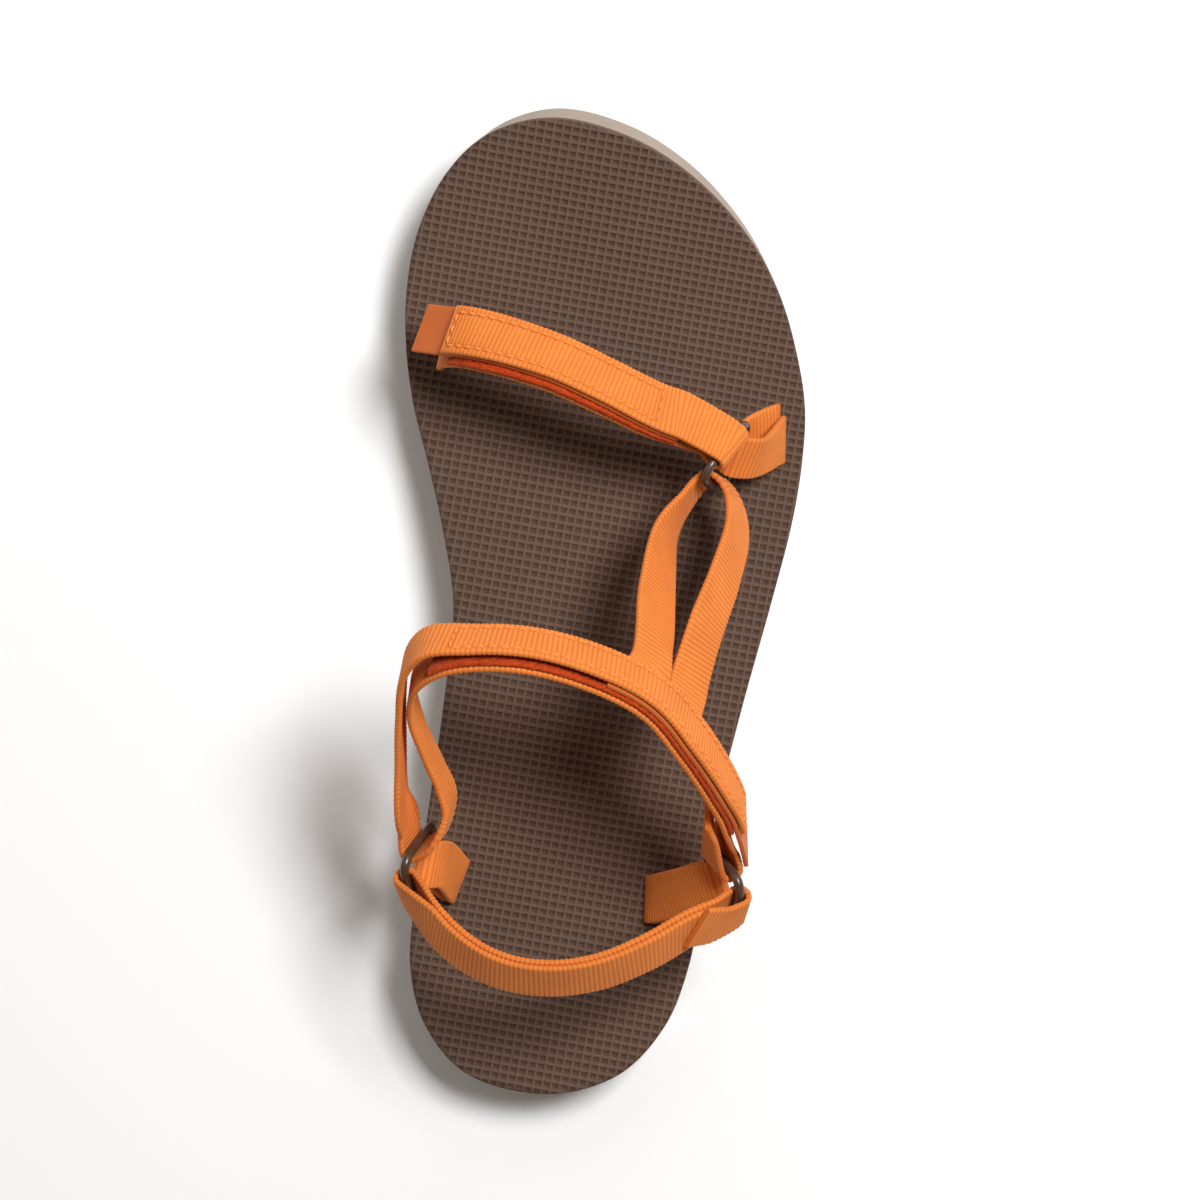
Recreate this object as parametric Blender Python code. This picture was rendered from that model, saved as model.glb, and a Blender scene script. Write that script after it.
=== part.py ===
"""Sport sandal for the right foot: foam sole, textured footbed and ribbed webbing straps on three rings.

Sizes are in millimetres and the meshes are made in metres. +Y points to the toe, +X to the outer side of
the foot and +Z up. The sole is drawn flat and then bent up at the toe.
"""
import math
from collections import namedtuple

import bmesh
import bpy
from mathutils import Matrix, Vector

MM = 0.001
GAP = 0.3

# Sole
SOLE_LENGTH = 252.0
BALL_WIDTH = 102.0
HEEL_HEIGHT = 22.0
BALL_HEIGHT = 20.0
DROP_FROM = -45.0
DROP_TO = 30.0
FOOTBED_THICKNESS = 4.0
ARCH_RISE = 1.6
ARCH_AT = -8.0
ARCH_REACH = 38.0
ARCH_EDGE = -0.38 * BALL_WIDTH
HEEL_CUP_DEPTH = 1.0
HEEL_CUP_AT = (-13.0, -86.0)
HEEL_CUP_RADIUS = 34.0
HEEL_CUP_FLAT = 7.0
WAIST_RISE = 2.5
WAIST_FROM = -42.0
WAIST_TO = 8.0
FLEX_POINT = (0.0, 50.0)
FLEX_TURN = math.radians(17.5)
TOE_SPRING_RADIUS = 313.0
RUNG_COUNT = 44
RUNG_CELLS = 6

# Tread
GROOVE_WIDTH = 4.0
GROOVE_DEPTH = 3.0
GROOVE_PITCH = 13.0
GROOVE_MARGIN = 8.0
FOREFOOT_GROOVES = 7
FOREFOOT_FIRST = 22.0
HEEL_GROOVES = 5
HEEL_FIRST = -113.0

# Webbing, tapes and rings
WEB_WIDTH = 13.0
WEB_THICKNESS = 1.4
WEB_AT_RING = 12.0
WEB_AT_SLOT = 12.2
TAPE_WIDTH = 12.2
TAPE_THICKNESS = 0.9
SLOT_DEPTH = 10.0
TUCK_DEPTH = 8.5
SLOT_CLEARANCE = 0.4
RING_SIDE = 23.5
RING_WIRE = 2.6
RING_CORNER = 3.5
RING_CORNER_STEPS = 5
FOLD_RADIUS = RING_WIRE / 2 + GAP + WEB_THICKNESS / 2
FOLD_STEPS = 6
APPROACH = 5.0
INSTEP_APPROACH = 2.5
LAYER_STEP = WEB_THICKNESS + GAP
CLOSURE_LIFT = 2 * FOLD_RADIUS
TAPE_GAP = (CLOSURE_LIFT - WEB_THICKNESS - 2 * TAPE_THICKNESS) / 3
LOOP_TAPE_LIFT = WEB_THICKNESS / 2 + TAPE_GAP + TAPE_THICKNESS / 2
HOOK_TAPE_LIFT = CLOSURE_LIFT - LOOP_TAPE_LIFT
STATION_STEP = 3.2
ROWS_ONLY = math.inf

# Outline of the sole: share of the length from the heel, then both edges as shares of half the ball width
Station = namedtuple("Station", "along medial lateral")
OUTLINE = (
    Station(0.000, -0.280, -0.280),
    Station(0.020, -0.690, 0.070),
    Station(0.069, -0.900, 0.298),
    Station(0.130, -0.975, 0.418),
    Station(0.211, -0.940, 0.490),
    Station(0.292, -0.880, 0.560),
    Station(0.394, -0.806, 0.686),
    Station(0.495, -0.757, 0.825),
    Station(0.576, -0.816, 0.929),
    Station(0.637, -0.884, 0.980),
    Station(0.698, -0.959, 1.000),
    Station(0.759, -0.996, 0.959),
    Station(0.820, -0.984, 0.875),
    Station(0.880, -0.920, 0.722),
    Station(0.941, -0.770, 0.455),
    Station(0.982, -0.560, 0.135),
    Station(1.000, -0.240, -0.240),
)

# Side wall of the sole from top to bottom: share of the height, how far it stands out, and how much of that
# it is drawn in again along the two sides
Wall = namedtuple("Wall", "share outset tuck")
SOLE_WALL = (Wall(0.0, 0.0, 0.0), Wall(0.45, 0.5, 1.0), Wall(0.92, 0.9, 2.0), Wall(1.0, -0.5, 2.0))
FOOTBED_WALL = (Wall(0.0, -0.4, 0.0), Wall(0.12, 0.0, 0.0), Wall(1.0, 0.0, 0.0))

# Slots where webbing goes down into the footbed: middle, direction of the slot, layers of webbing in it,
# and how far each of two layers is slid along the slot, one each way
Slot = namedtuple("Slot", "x y dir_x dir_y layers skew")
TOE_MEDIAL_SLOT = Slot(-40.4, 64.3, 0.23, 0.97, 1, 0.0)
TOE_LATERAL_SLOT = Slot(44.2, 42.5, 0.04, 1.00, 2, 1.6)
HEEL_MEDIAL_SLOT = Slot(-37.9, -71.1, 0.35, 0.94, 2, 0.0)
HEEL_LATERAL_SLOT = Slot(11.9, -76.0, 0.04, 1.00, 2, 0.0)
SLOTS = (TOE_MEDIAL_SLOT, TOE_LATERAL_SLOT, HEEL_MEDIAL_SLOT, HEEL_LATERAL_SLOT)

# Rings: middle, plan direction of their plane, lean of their top to its right, turn of their first side
Ring = namedtuple("Ring", "x y z forward_x forward_y lean turn")
TOE_RING = Ring(30.2, 35.0, 40.5, 0.50, 0.87, -15.0, 60.0)
HEEL_RING_MEDIAL = Ring(-45.2, -64.3, 52.0, 0.20, 0.98, -14.0, 30.0)
HEEL_RING_LATERAL = Ring(30.2, -69.0, 52.0, -0.29, 0.96, 20.0, 30.0)
CORNER_TURN = 120.0
FIRST_SIDE = 0.0
SECOND_SIDE = FIRST_SIDE + CORNER_TURN
THIRD_SIDE = SECOND_SIDE + CORNER_TURN

# Which way each strap leaves the bar that it folds round
TOE_STRAP_PULL = (-0.80, 0.45, 0.30)
INSTEP_PULL = (0.05, -0.97, 0.20)
ANKLE_MEDIAL_PULL = (0.40, 0.82, 0.40)
ANKLE_LATERAL_PULL = (-0.05, 0.66, 0.75)
HEEL_MEDIAL_PULL = (0.49, -0.60, 0.63)
HEEL_LATERAL_PULL = (-0.79, -0.37, 0.48)
OUTWARD = (1.0, 0.0, 0.0)
INWARD = (-1.0, 0.0, 0.0)
UPWARD = (0.0, 0.0, 1.0)
DOWNWARD = (0.0, 0.0, -1.0)

# Anchors: loops of webbing from a slot to the lowest bar of a ring, with the side their first layer is on
# and how far their layers open out where they leave the bar, in degrees
Anchor = namedtuple("Anchor", "name slot ring pull first_layer spread")
ANCHORS = (
    Anchor("toe_anchor", TOE_LATERAL_SLOT, TOE_RING, (0.68, 0.24, -0.69), OUTWARD, 18.0),
    Anchor("heel_anchor_medial", HEEL_MEDIAL_SLOT, HEEL_RING_MEDIAL, (0.34, -0.26, -0.91), INWARD, 0.0),
    Anchor("heel_anchor_lateral", HEEL_LATERAL_SLOT, HEEL_RING_LATERAL, (-0.64, -0.24, -0.73), OUTWARD, 0.0),
)

# Where the middle of a strap runs, and which way its upper or front edge points
Run = namedtuple("Run", "x y z edge_x edge_y edge_z")
TOE_RUN = (
    Run(-40.0, 64.3, 31.0, 0.23, 0.96, -0.05),
    Run(-37.6, 64.4, 40.0, 0.24, 0.94, -0.18),
    Run(-32.6, 63.6, 47.6, 0.25, 0.90, -0.33),
    Run(-23.7, 61.1, 52.6, 0.26, 0.86, -0.46),
    Run(-11.3, 56.8, 54.8, 0.30, 0.84, -0.58),
    Run(0.9, 51.2, 54.0, 0.36, 0.82, -0.64),
    Run(11.8, 46.3, 50.8, 0.40, 0.82, -0.60),
)
ANKLE_RUN = (
    Run(30.1, -51.0, 64.8, -0.06, -0.34, 0.94),
    Run(26.9, -43.8, 72.6, -0.18, -0.33, 0.92),
    Run(19.8, -32.4, 82.2, -0.27, -0.33, 0.90),
    Run(12.0, -23.2, 88.0, -0.26, -0.38, 0.89),
    Run(-1.3, -16.2, 91.5, -0.18, -0.45, 0.88),
    Run(-17.7, -12.0, 93.0, -0.06, -0.47, 0.88),
    Run(-34.0, -12.3, 90.0, 0.00, -0.48, 0.88),
    Run(-42.0, -16.0, 83.5, -0.10, -0.62, 0.78),
    Run(-44.8, -22.6, 76.0, -0.02, -0.68, 0.73),
    Run(-42.6, -32.7, 68.0, 0.06, -0.64, 0.77),
    Run(-39.2, -41.5, 62.0, 0.00, -0.57, 0.82),
    Run(-37.0, -49.6, 58.2, -0.14, -0.52, 0.84),
)
ANKLE_OUTER_LEG = (
    Run(-48.4, -48.8, 62.0, -0.10, -0.58, 0.81),
    Run(-48.0, -34.7, 69.6, -0.06, -0.60, 0.80),
    Run(-47.3, -23.8, 77.0, -0.05, -0.64, 0.77),
    Run(-45.2, -13.4, 85.6, -0.08, -0.64, 0.76),
    Run(-39.8, -8.4, 91.0, -0.04, -0.52, 0.85),
)
INSTEP_MEDIAL_LEG = (
    Run(12.4, -14.4, 78.0, -0.68, 0.40, 0.60),
    Run(13.2, -7.5, 73.0, -0.62, 0.25, 0.74),
    Run(13.8, 2.7, 62.0, -0.56, 0.12, 0.82),
    Run(15.9, 16.4, 49.5, -0.38, 0.05, 0.93),
    Run(19.8, 23.6, 43.0, -0.25, 0.00, 0.97),
)
INSTEP_LATERAL_LEG = (
    Run(32.6, 25.0, 42.0, -0.22, 0.00, 0.97),
    Run(33.3, 18.0, 46.5, -0.36, 0.05, 0.93),
    Run(30.2, 6.4, 55.5, -0.50, 0.08, 0.86),
    Run(25.4, -6.2, 63.6, -0.60, 0.15, 0.77),
    Run(21.2, -20.2, 69.0, -0.66, 0.30, 0.68),
)
HEEL_RUN = (
    Run(-42.4, -75.8, 61.5, 0.38, 0.38, 0.84),
    Run(-34.2, -83.2, 66.8, 0.32, 0.50, 0.80),
    Run(-23.9, -88.3, 69.8, 0.16, 0.60, 0.79),
    Run(-11.9, -90.0, 70.8, 0.00, 0.62, 0.79),
    Run(0.1, -88.4, 69.8, -0.16, 0.58, 0.80),
    Run(12.0, -83.8, 67.0, -0.24, 0.52, 0.82),
    Run(21.6, -78.8, 62.4, -0.26, 0.46, 0.85),
)

# Fastening: shares of a run that the returned layer and the tapes cover, and the free pull tab
TOE_CLOSED_FROM = 0.32
TOE_CLOSED_TO = 0.86
TOE_HOOK_TO = 0.84
TOE_LOOP_FROM = 0.37
TOE_LOOP_TO = 0.86
TOE_SKEW = 1.6
ANKLE_CLOSED_FROM = 0.085
ANKLE_CLOSED_TO = 0.56
ANKLE_HOOK_TO = 0.40
ANKLE_LOOP_FROM = 0.10
ANKLE_LOOP_TO = 0.59
TAB_LENGTH = 13.0
TOE_TAB_LIFT = 0.4
ANKLE_TAB_LIFT = -0.6
ANKLE_END_FROM = 0.12
ANKLE_END_TO = 0.075
ANKLE_END_LIFT = -3.6

# How far the two legs of a loop open out where they leave a ring, in degrees
ANKLE_SPREAD = 25.0
INSTEP_SPREAD = 48.0

# Where the instep legs are sewn to the ankle strap: shares of its run, reach up and down it, depth into it
INSTEP_MEDIAL_AT = 0.333
INSTEP_LATERAL_AT = 0.245
SEWN_UP = 4.0
SEWN_DOWN = 7.0
SEWN_DEPTH = 0.6
SEWN_WIDTH = 11.0

# Heel strap: shares of its run where the layers part to the rings and where the sewn ends lie,
# and how far the returned end is slid up it
HEEL_PART_FROM = 0.12
HEEL_PART_TO = 0.93
HEEL_END_AT = 0.91
HEEL_RETURN_FROM = 0.885
HEEL_RETURN_SLIDE = 3.0

Row = namedtuple("Row", "point edge width")
Section = namedtuple("Section", "point along edge face width")


def unit(vector):
    """Vector of length one."""
    return Vector(vector).normalized()


def smooth(value, start, end):
    """Soft step from 0 at start to 1 at end."""
    share = min(max((value - start) / (end - start), 0.0), 1.0)
    return share * share * (3.0 - 2.0 * share)


def catmull_rom(points, spacing):
    """Points along a centripetal Catmull-Rom curve, with the segment and share of each."""
    first = points[0] * 2 - points[1]
    last = points[-1] * 2 - points[-2]
    chain = [first, *points, last]
    placed = []
    for index in range(1, len(chain) - 2):
        knots = [0.0]
        for a, b in zip(chain[index - 1:index + 2], chain[index:index + 3]):
            knots.append(knots[-1] + max((b - a).length, MM) ** 0.5)
        count = max(1, round((chain[index + 1] - chain[index]).length / spacing))
        for step in range(count):
            share = step / count
            placed.append((barry_goldman(chain[index - 1:index + 3], knots, share), index - 1, share))
    placed.append((points[-1].copy(), len(points) - 2, 1.0))
    return placed


def barry_goldman(four, knots, share):
    """Point on the middle span of four control points."""
    time = knots[1] + (knots[2] - knots[1]) * share
    level = list(four)
    for depth in range(1, 4):
        level = [
            level[i].lerp(level[i + 1], (time - knots[low]) / (knots[high] - knots[low]))
            for i, low, high in spans(depth)
        ]
    return level[0]


def spans(depth):
    """Knot pairs that one level of the curve's pyramid blends between."""
    table = {
        1: ((0, 0, 1), (1, 1, 2), (2, 2, 3)),
        2: ((0, 0, 2), (1, 1, 3)),
        3: ((0, 1, 2),),
    }
    return table[depth]


def material(name, colour, roughness, metallic):
    """Principled material in one colour."""
    made = bpy.data.materials.new(name)
    made.use_nodes = True
    shader = made.node_tree.nodes["Principled BSDF"]
    shader.inputs["Base Color"].default_value = (*colour, 1.0)
    shader.inputs["Roughness"].default_value = roughness
    shader.inputs["Metallic"].default_value = metallic
    return made


def new_object(name, mesh, collection, finish=None):
    """Object for a mesh, in a collection and with a finish."""
    made = bpy.data.objects.new(name, mesh)
    collection.objects.link(made)
    if finish:
        mesh.materials.append(finish)
    return made


def mesh_from(bm, name):
    """Mesh in metres from a bmesh drawn in millimetres."""
    bmesh.ops.recalc_face_normals(bm, faces=bm.faces)
    bmesh.ops.scale(bm, vec=(MM, MM, MM), verts=bm.verts)
    mesh = bpy.data.meshes.new(name)
    bm.to_mesh(mesh)
    bm.free()
    return mesh


# Sole and footbed

def outline_points():
    """Closed plan outline: heel tip, outer side, toe tip, inner side."""
    def place(along, across):
        return Vector((across * BALL_WIDTH / 2, (along - 0.5) * SOLE_LENGTH, 0.0))

    inner = OUTLINE[1:-1]
    lateral = [place(row.along, row.lateral) for row in inner]
    medial = [place(row.along, row.medial) for row in reversed(inner)]
    heel = place(OUTLINE[0].along, OUTLINE[0].medial)
    toe = place(OUTLINE[-1].along, OUTLINE[-1].medial)
    outer_half = half_outline(medial[-1], [heel, *lateral, toe], medial[0])
    inner_half = half_outline(lateral[-1], [toe, *medial, heel], lateral[0])
    return outer_half[:-1] + inner_half[:-1]


def half_outline(before, points, after):
    """One side of the outline from tip to tip, in RUNG_COUNT even steps."""
    curve = catmull_rom([before, *points, after], 1.0)
    fine = [point for point, segment, _ in curve if 1 <= segment <= len(points) - 1]
    fine.append(points[-1].copy())
    lengths = [0.0]
    for a, b in zip(fine, fine[1:]):
        lengths.append(lengths[-1] + (b - a).length)
    even = []
    index = 0
    for rung in range(RUNG_COUNT + 1):
        target = lengths[-1] * rung / RUNG_COUNT
        while index < len(fine) - 2 and lengths[index + 1] < target:
            index += 1
        share = (target - lengths[index]) / (lengths[index + 1] - lengths[index])
        even.append(fine[index].lerp(fine[index + 1], share))
    return even


def outset_outline(outline, outset, tuck):
    """Outline moved outwards in plan, and drawn in along its sides."""
    moved = []
    for index, point in enumerate(outline):
        run = outline[(index + 1) % len(outline)] - outline[index - 1]
        out = unit((run.y, -run.x, 0.0))
        moved.append(point + out * (outset - tuck * out.x * out.x))
    return moved


def footbed_height(x, y):
    """Top of the footbed on the flat sole: heel drop, arch rise and heel cup."""
    height = HEEL_HEIGHT + (BALL_HEIGHT - HEEL_HEIGHT) * smooth(y, DROP_FROM, DROP_TO)
    arch = math.exp(-((y - ARCH_AT) / ARCH_REACH) ** 2) * smooth(x, 0.0, ARCH_EDGE)
    reach = math.hypot(x - HEEL_CUP_AT[0], y - HEEL_CUP_AT[1])
    cup = 1.0 - smooth(reach, HEEL_CUP_FLAT, HEEL_CUP_RADIUS)
    return height + ARCH_RISE * arch - HEEL_CUP_DEPTH * cup


def underside_height(x, y):
    """Bottom of the flat sole, raised a little at the waist."""
    middle = (WAIST_FROM + WAIST_TO) / 2
    quarter = (WAIST_TO - WAIST_FROM) / 4
    rise = smooth(y, WAIST_FROM, middle - quarter) * smooth(y, WAIST_TO, middle + quarter)
    return WAIST_RISE * rise


def sole_top(x, y):
    """Top of the sole, just under the footbed."""
    return footbed_height(x, y) - FOOTBED_THICKNESS - GAP


def footbed_bottom(x, y):
    """Bottom of the footbed."""
    return footbed_height(x, y) - FOOTBED_THICKNESS


def slab(outline, wall, top, bottom):
    """Closed slab between two height functions, with a wall of the given rows round the outline."""
    bm = bmesh.new()
    rings = []
    for row in wall:
        ring = []
        for point in outset_outline(outline, row.outset, row.tuck):
            high = top(point.x, point.y)
            low = bottom(point.x, point.y)
            ring.append(bm.verts.new((point.x, point.y, high + (low - high) * row.share)))
        rings.append(ring)
    for upper, lower in zip(rings, rings[1:]):
        for index in range(len(upper)):
            following = (index + 1) % len(upper)
            bm.faces.new((upper[index], upper[following], lower[following], lower[index]))
    cover(bm, rings[0], top)
    cover(bm, rings[-1], bottom)
    return bm


def cover(bm, ring, height):
    """Surface over a ring of points, on rungs from the inner to the outer side."""
    count = len(ring) // 2
    rungs = []
    for index in range(1, count):
        outer = ring[index]
        inner = ring[-index]
        rung = [inner]
        for cell in range(1, RUNG_CELLS):
            point = inner.co.lerp(outer.co, cell / RUNG_CELLS)
            rung.append(bm.verts.new((point.x, point.y, height(point.x, point.y))))
        rung.append(outer)
        rungs.append(rung)
    for one, two in zip(rungs, rungs[1:]):
        for cell in range(RUNG_CELLS):
            bm.faces.new((one[cell], one[cell + 1], two[cell + 1], two[cell]))
    for tip, rung in ((ring[0], rungs[0]), (ring[count], rungs[-1])):
        for cell in range(RUNG_CELLS):
            bm.faces.new((tip, rung[cell], rung[cell + 1]))


def toe_bent(point):
    """Place of a flat-sole point after the toe is bent up about the slanting flex line."""
    across = Vector((math.sin(FLEX_TURN), math.cos(FLEX_TURN), 0.0))
    reach = across.dot(Vector((point.x - FLEX_POINT[0], point.y - FLEX_POINT[1], 0.0)))
    if reach <= 0.0:
        return point
    angle = reach / TOE_SPRING_RADIUS
    radius = TOE_SPRING_RADIUS - point.z
    moved = point + across * (radius * math.sin(angle) - reach)
    moved.z = TOE_SPRING_RADIUS - radius * math.cos(angle)
    return moved


def add_box(bm, middle, along, size):
    """Box turned about Z so that its first side runs along a plan direction."""
    turn = math.atan2(along[1], along[0])
    place = Matrix.Translation(middle) @ Matrix.Rotation(turn, 4, "Z") @ Matrix.Diagonal((*size, 1.0))
    bmesh.ops.create_cube(bm, size=1.0, matrix=place)


def slot_cutters():
    """Boxes that cut the webbing slots through the footbed into the sole."""
    bm = bmesh.new()
    for slot in SLOTS:
        width = slot.layers * LAYER_STEP - GAP + 2 * SLOT_CLEARANCE
        top = footbed_height(slot.x, slot.y)
        middle = (slot.x, slot.y, top - SLOT_DEPTH / 2 + FOOTBED_THICKNESS)
        length = WEB_WIDTH + 2 * SLOT_CLEARANCE + 2 * slot.skew
        size = (length, width, SLOT_DEPTH + 2 * FOOTBED_THICKNESS)
        add_box(bm, middle, (slot.dir_x, slot.dir_y), size)
    return bm


def groove_span(outline, through, direction):
    """Both places where a line across the sole meets the outline."""
    normal = Vector((-direction.y, direction.x, 0.0))
    hits = []
    for a, b in zip(outline, outline[1:] + outline[:1]):
        from_a = normal.dot(a - through)
        from_b = normal.dot(b - through)
        if from_a * from_b < 0.0:
            hits.append(direction.dot(a.lerp(b, from_a / (from_a - from_b)) - through))
    return min(hits), max(hits)


def groove_cutters(outline):
    """Bars that cut the tread between the lugs, across the heel and slanting across the forefoot."""
    slanting = Vector((math.cos(FLEX_TURN), -math.sin(FLEX_TURN), 0.0))
    straight = Vector((1.0, 0.0, 0.0))
    lines = [(FOREFOOT_FIRST + GROOVE_PITCH * i, slanting) for i in range(FOREFOOT_GROOVES)]
    lines += [(HEEL_FIRST + GROOVE_PITCH * i, straight) for i in range(HEEL_GROOVES)]
    bm = bmesh.new()
    for y, direction in lines:
        through = Vector((0.0, y, 0.0))
        start, end = groove_span(outline, through, direction)
        middle = through + direction * ((start + end) / 2)
        length = end - start - 2 * GROOVE_MARGIN
        add_box(bm, middle, direction, (length, GROOVE_WIDTH, 2 * GROOVE_DEPTH))
    return bm


def cut_and_bend(part, cutters):
    """Cut a flat slab, then bend its toe up."""
    for cutter in cutters:
        boolean = part.modifiers.new(cutter.name, "BOOLEAN")
        boolean.operation = "DIFFERENCE"
        boolean.object = cutter
    cut = bpy.data.meshes.new_from_object(part.evaluated_get(bpy.context.evaluated_depsgraph_get()))
    bm = bmesh.new()
    bm.from_mesh(cut)
    bmesh.ops.triangulate(bm, faces=bm.faces)
    for vert in bm.verts:
        vert.co = toe_bent(vert.co / MM) * MM
    part.modifiers.clear()
    bm.to_mesh(part.data)
    bm.free()
    bpy.data.meshes.remove(cut)


def build_sole(parts, cutters, finishes):
    """Foam sole with its tread, and the footbed on it."""
    outline = outline_points()
    slots = new_object("slot_cutters", mesh_from(slot_cutters(), "slot_cutters"), cutters)
    grooves = new_object("groove_cutters", mesh_from(groove_cutters(outline), "groove_cutters"), cutters)
    for cutter in (slots, grooves):
        cutter.hide_render = True
        cutter.display_type = "WIRE"
    sole_mesh = mesh_from(slab(outline, SOLE_WALL, sole_top, underside_height), "sole")
    sole = new_object("sole", sole_mesh, parts, finishes["foam"])
    bed_mesh = mesh_from(slab(outline, FOOTBED_WALL, footbed_height, footbed_bottom), "footbed")
    footbed = new_object("footbed", bed_mesh, parts, finishes["footbed"])
    bpy.context.view_layer.update()
    cut_and_bend(sole, (slots, grooves))
    cut_and_bend(footbed, (slots,))


# Rings

def ring_frame(ring):
    """Plan direction, upward direction and face of a ring's plane."""
    forward = unit((ring.forward_x, ring.forward_y, 0.0))
    beside = forward.cross(Vector((0.0, 0.0, 1.0)))
    lean = math.radians(ring.lean)
    upward = Vector((0.0, 0.0, math.cos(lean))) + beside * math.sin(lean)
    return forward, upward, forward.cross(upward)


def ring_side(ring, side):
    """Middle of one side of a ring, and the direction of its bar."""
    forward, upward, face = ring_frame(ring)
    angle = math.radians(ring.turn + side)
    outward = forward * math.cos(angle) + upward * math.sin(angle)
    inradius = RING_SIDE / (2 * math.sqrt(3.0))
    return Vector((ring.x, ring.y, ring.z)) + outward * inradius, outward.cross(face)


def build_ring(name, ring, parts, finish):
    """Three-sided wire ring with rounded corners."""
    forward, upward, _ = ring_frame(ring)
    middle = Vector((ring.x, ring.y, ring.z))
    corner_reach = RING_SIDE / math.sqrt(3.0) - 2 * RING_CORNER
    points = []
    for side in (FIRST_SIDE, SECOND_SIDE, THIRD_SIDE):
        turn = math.radians(ring.turn + side + CORNER_TURN / 2)
        for step in range(RING_CORNER_STEPS):
            swing = turn + math.radians(CORNER_TURN) * (step / (RING_CORNER_STEPS - 1) - 0.5)
            flat = (
                corner_reach * math.cos(turn) + RING_CORNER * math.cos(swing),
                corner_reach * math.sin(turn) + RING_CORNER * math.sin(swing),
            )
            points.append((middle + forward * flat[0] + upward * flat[1]) * MM)
    curve = bpy.data.curves.new(name, "CURVE")
    curve.dimensions = "3D"
    curve.bevel_depth = RING_WIRE / 2 * MM
    curve.bevel_resolution = 2
    spline = curve.splines.new("POLY")
    spline.points.add(len(points) - 1)
    for place, point in zip(spline.points, points):
        place.co = (*point, 1.0)
    spline.use_cyclic_u = True
    new_object(name, curve, parts, finish)


# Webbing

def table_rows(table):
    """Rows of a strap table."""
    return [Row(Vector(row[:3]), unit(row[3:]), WEB_WIDTH) for row in table]


def sections(rows, spacing=STATION_STEP):
    """Cross-sections along a smooth curve through the rows, square to it."""
    curve = catmull_rom([row.point for row in rows], spacing)
    made = []
    for index, (point, segment, share) in enumerate(curve):
        before = curve[max(index - 1, 0)][0]
        after = curve[min(index + 1, len(curve) - 1)][0]
        along = unit(after - before)
        edge = rows[segment].edge.lerp(rows[segment + 1].edge, share)
        edge = unit(edge - along * edge.dot(along))
        width = rows[segment].width + (rows[segment + 1].width - rows[segment].width) * share
        made.append(Section(point, along, edge, along.cross(edge), width))
    return made


def stretch(run, first, last, lift, slide=0.0, width=WEB_WIDTH):
    """Rows along part of a run, lifted off its face and slid across it, most at its start."""
    total = len(run) - 1
    start = round(first * total)
    end = round(last * total)
    rows = []
    for index in range(start, end + 1) if end > start else range(start, end - 1, -1):
        at = run[index]
        skew = slide * (max(start, end) - index) / max(abs(end - start), 1)
        rows.append(Row(at.point + at.face * lift + at.edge * skew, at.edge, width))
    return rows


def fold(ring, side, pull, first_layer, edge, spread=0.0, approach=APPROACH):
    """Rows of webbing folded round a ring's bar: down one layer, round the bar and back up the other.

    The layers leave the bar side by side, or each turned outwards by the spread in degrees.
    """
    middle, bar = ring_side(ring, side)
    bar = bar if bar.dot(Vector(edge)) > 0.0 else -bar
    away = unit(Vector(pull) - bar * bar.dot(Vector(pull)))
    near = bar.cross(away)
    near = near if near.dot(Vector(first_layer)) > 0.0 else -near
    start = math.radians(spread)
    places = []
    for step in range(FOLD_STEPS + 1):
        angle = start + (math.pi - 2 * start) * step / FOLD_STEPS
        places.append(middle + (near * math.cos(angle) - away * math.sin(angle)) * FOLD_RADIUS)
    ahead = away * math.cos(start) * approach
    aside = near * math.sin(start) * approach
    places = [places[0] + ahead + aside, *places, places[-1] + ahead - aside]
    return [Row(place, bar, WEB_AT_RING) for place in places]


def tucked(slot, layer=0.0):
    """Rows of webbing standing in a slot, from its end in the foam up to the footbed."""
    edge = unit((slot.dir_x, slot.dir_y, 0.0))
    side = Vector((edge.y, -edge.x, 0.0)) * layer * LAYER_STEP - edge * 2 * layer * slot.skew
    top = footbed_height(slot.x, slot.y)
    heights = (top - TUCK_DEPTH, top - TUCK_DEPTH / 2, top + WEB_THICKNESS)
    places = [Vector((slot.x, slot.y, height)) + side for height in heights]
    return [Row(toe_bent(place), edge, WEB_AT_SLOT) for place in places]


def band(line, thickness):
    """Closed solid of flat webbing or tape through a line of cross-sections."""
    bm = bmesh.new()
    rings = []
    for at in line:
        across = at.edge * at.width / 2
        up = at.face * thickness / 2
        corners = (across + up, up - across, -across - up, across - up)
        rings.append([bm.verts.new(at.point + corner) for corner in corners])
    for one, two in zip(rings, rings[1:]):
        for index in range(4):
            following = (index + 1) % 4
            bm.faces.new((one[index], one[following], two[following], two[index]))
    bm.faces.new(rings[0])
    bm.faces.new(rings[-1])
    return bm


def pull_tab(rows, lift):
    """Rows of a free tape end that runs on from the first of some rows and lifts off a little."""
    ahead = unit(rows[0].point - rows[1].point)
    face = rows[0].edge.cross(ahead)
    tab = []
    for share in (1.0, 0.5):
        place = rows[0].point + ahead * TAB_LENGTH * share + face * lift * share * share
        tab.append(Row(place, rows[0].edge, rows[0].width))
    return tab


def sewn_on(run, share):
    """Rows of a webbing end that lies across a run, sewn to its inner face."""
    at = run[round(share * (len(run) - 1))]
    inner = at.point - at.face * SEWN_DEPTH
    return [Row(inner + at.edge * reach, at.along, SEWN_WIDTH) for reach in (SEWN_UP, -SEWN_DOWN)]


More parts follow.
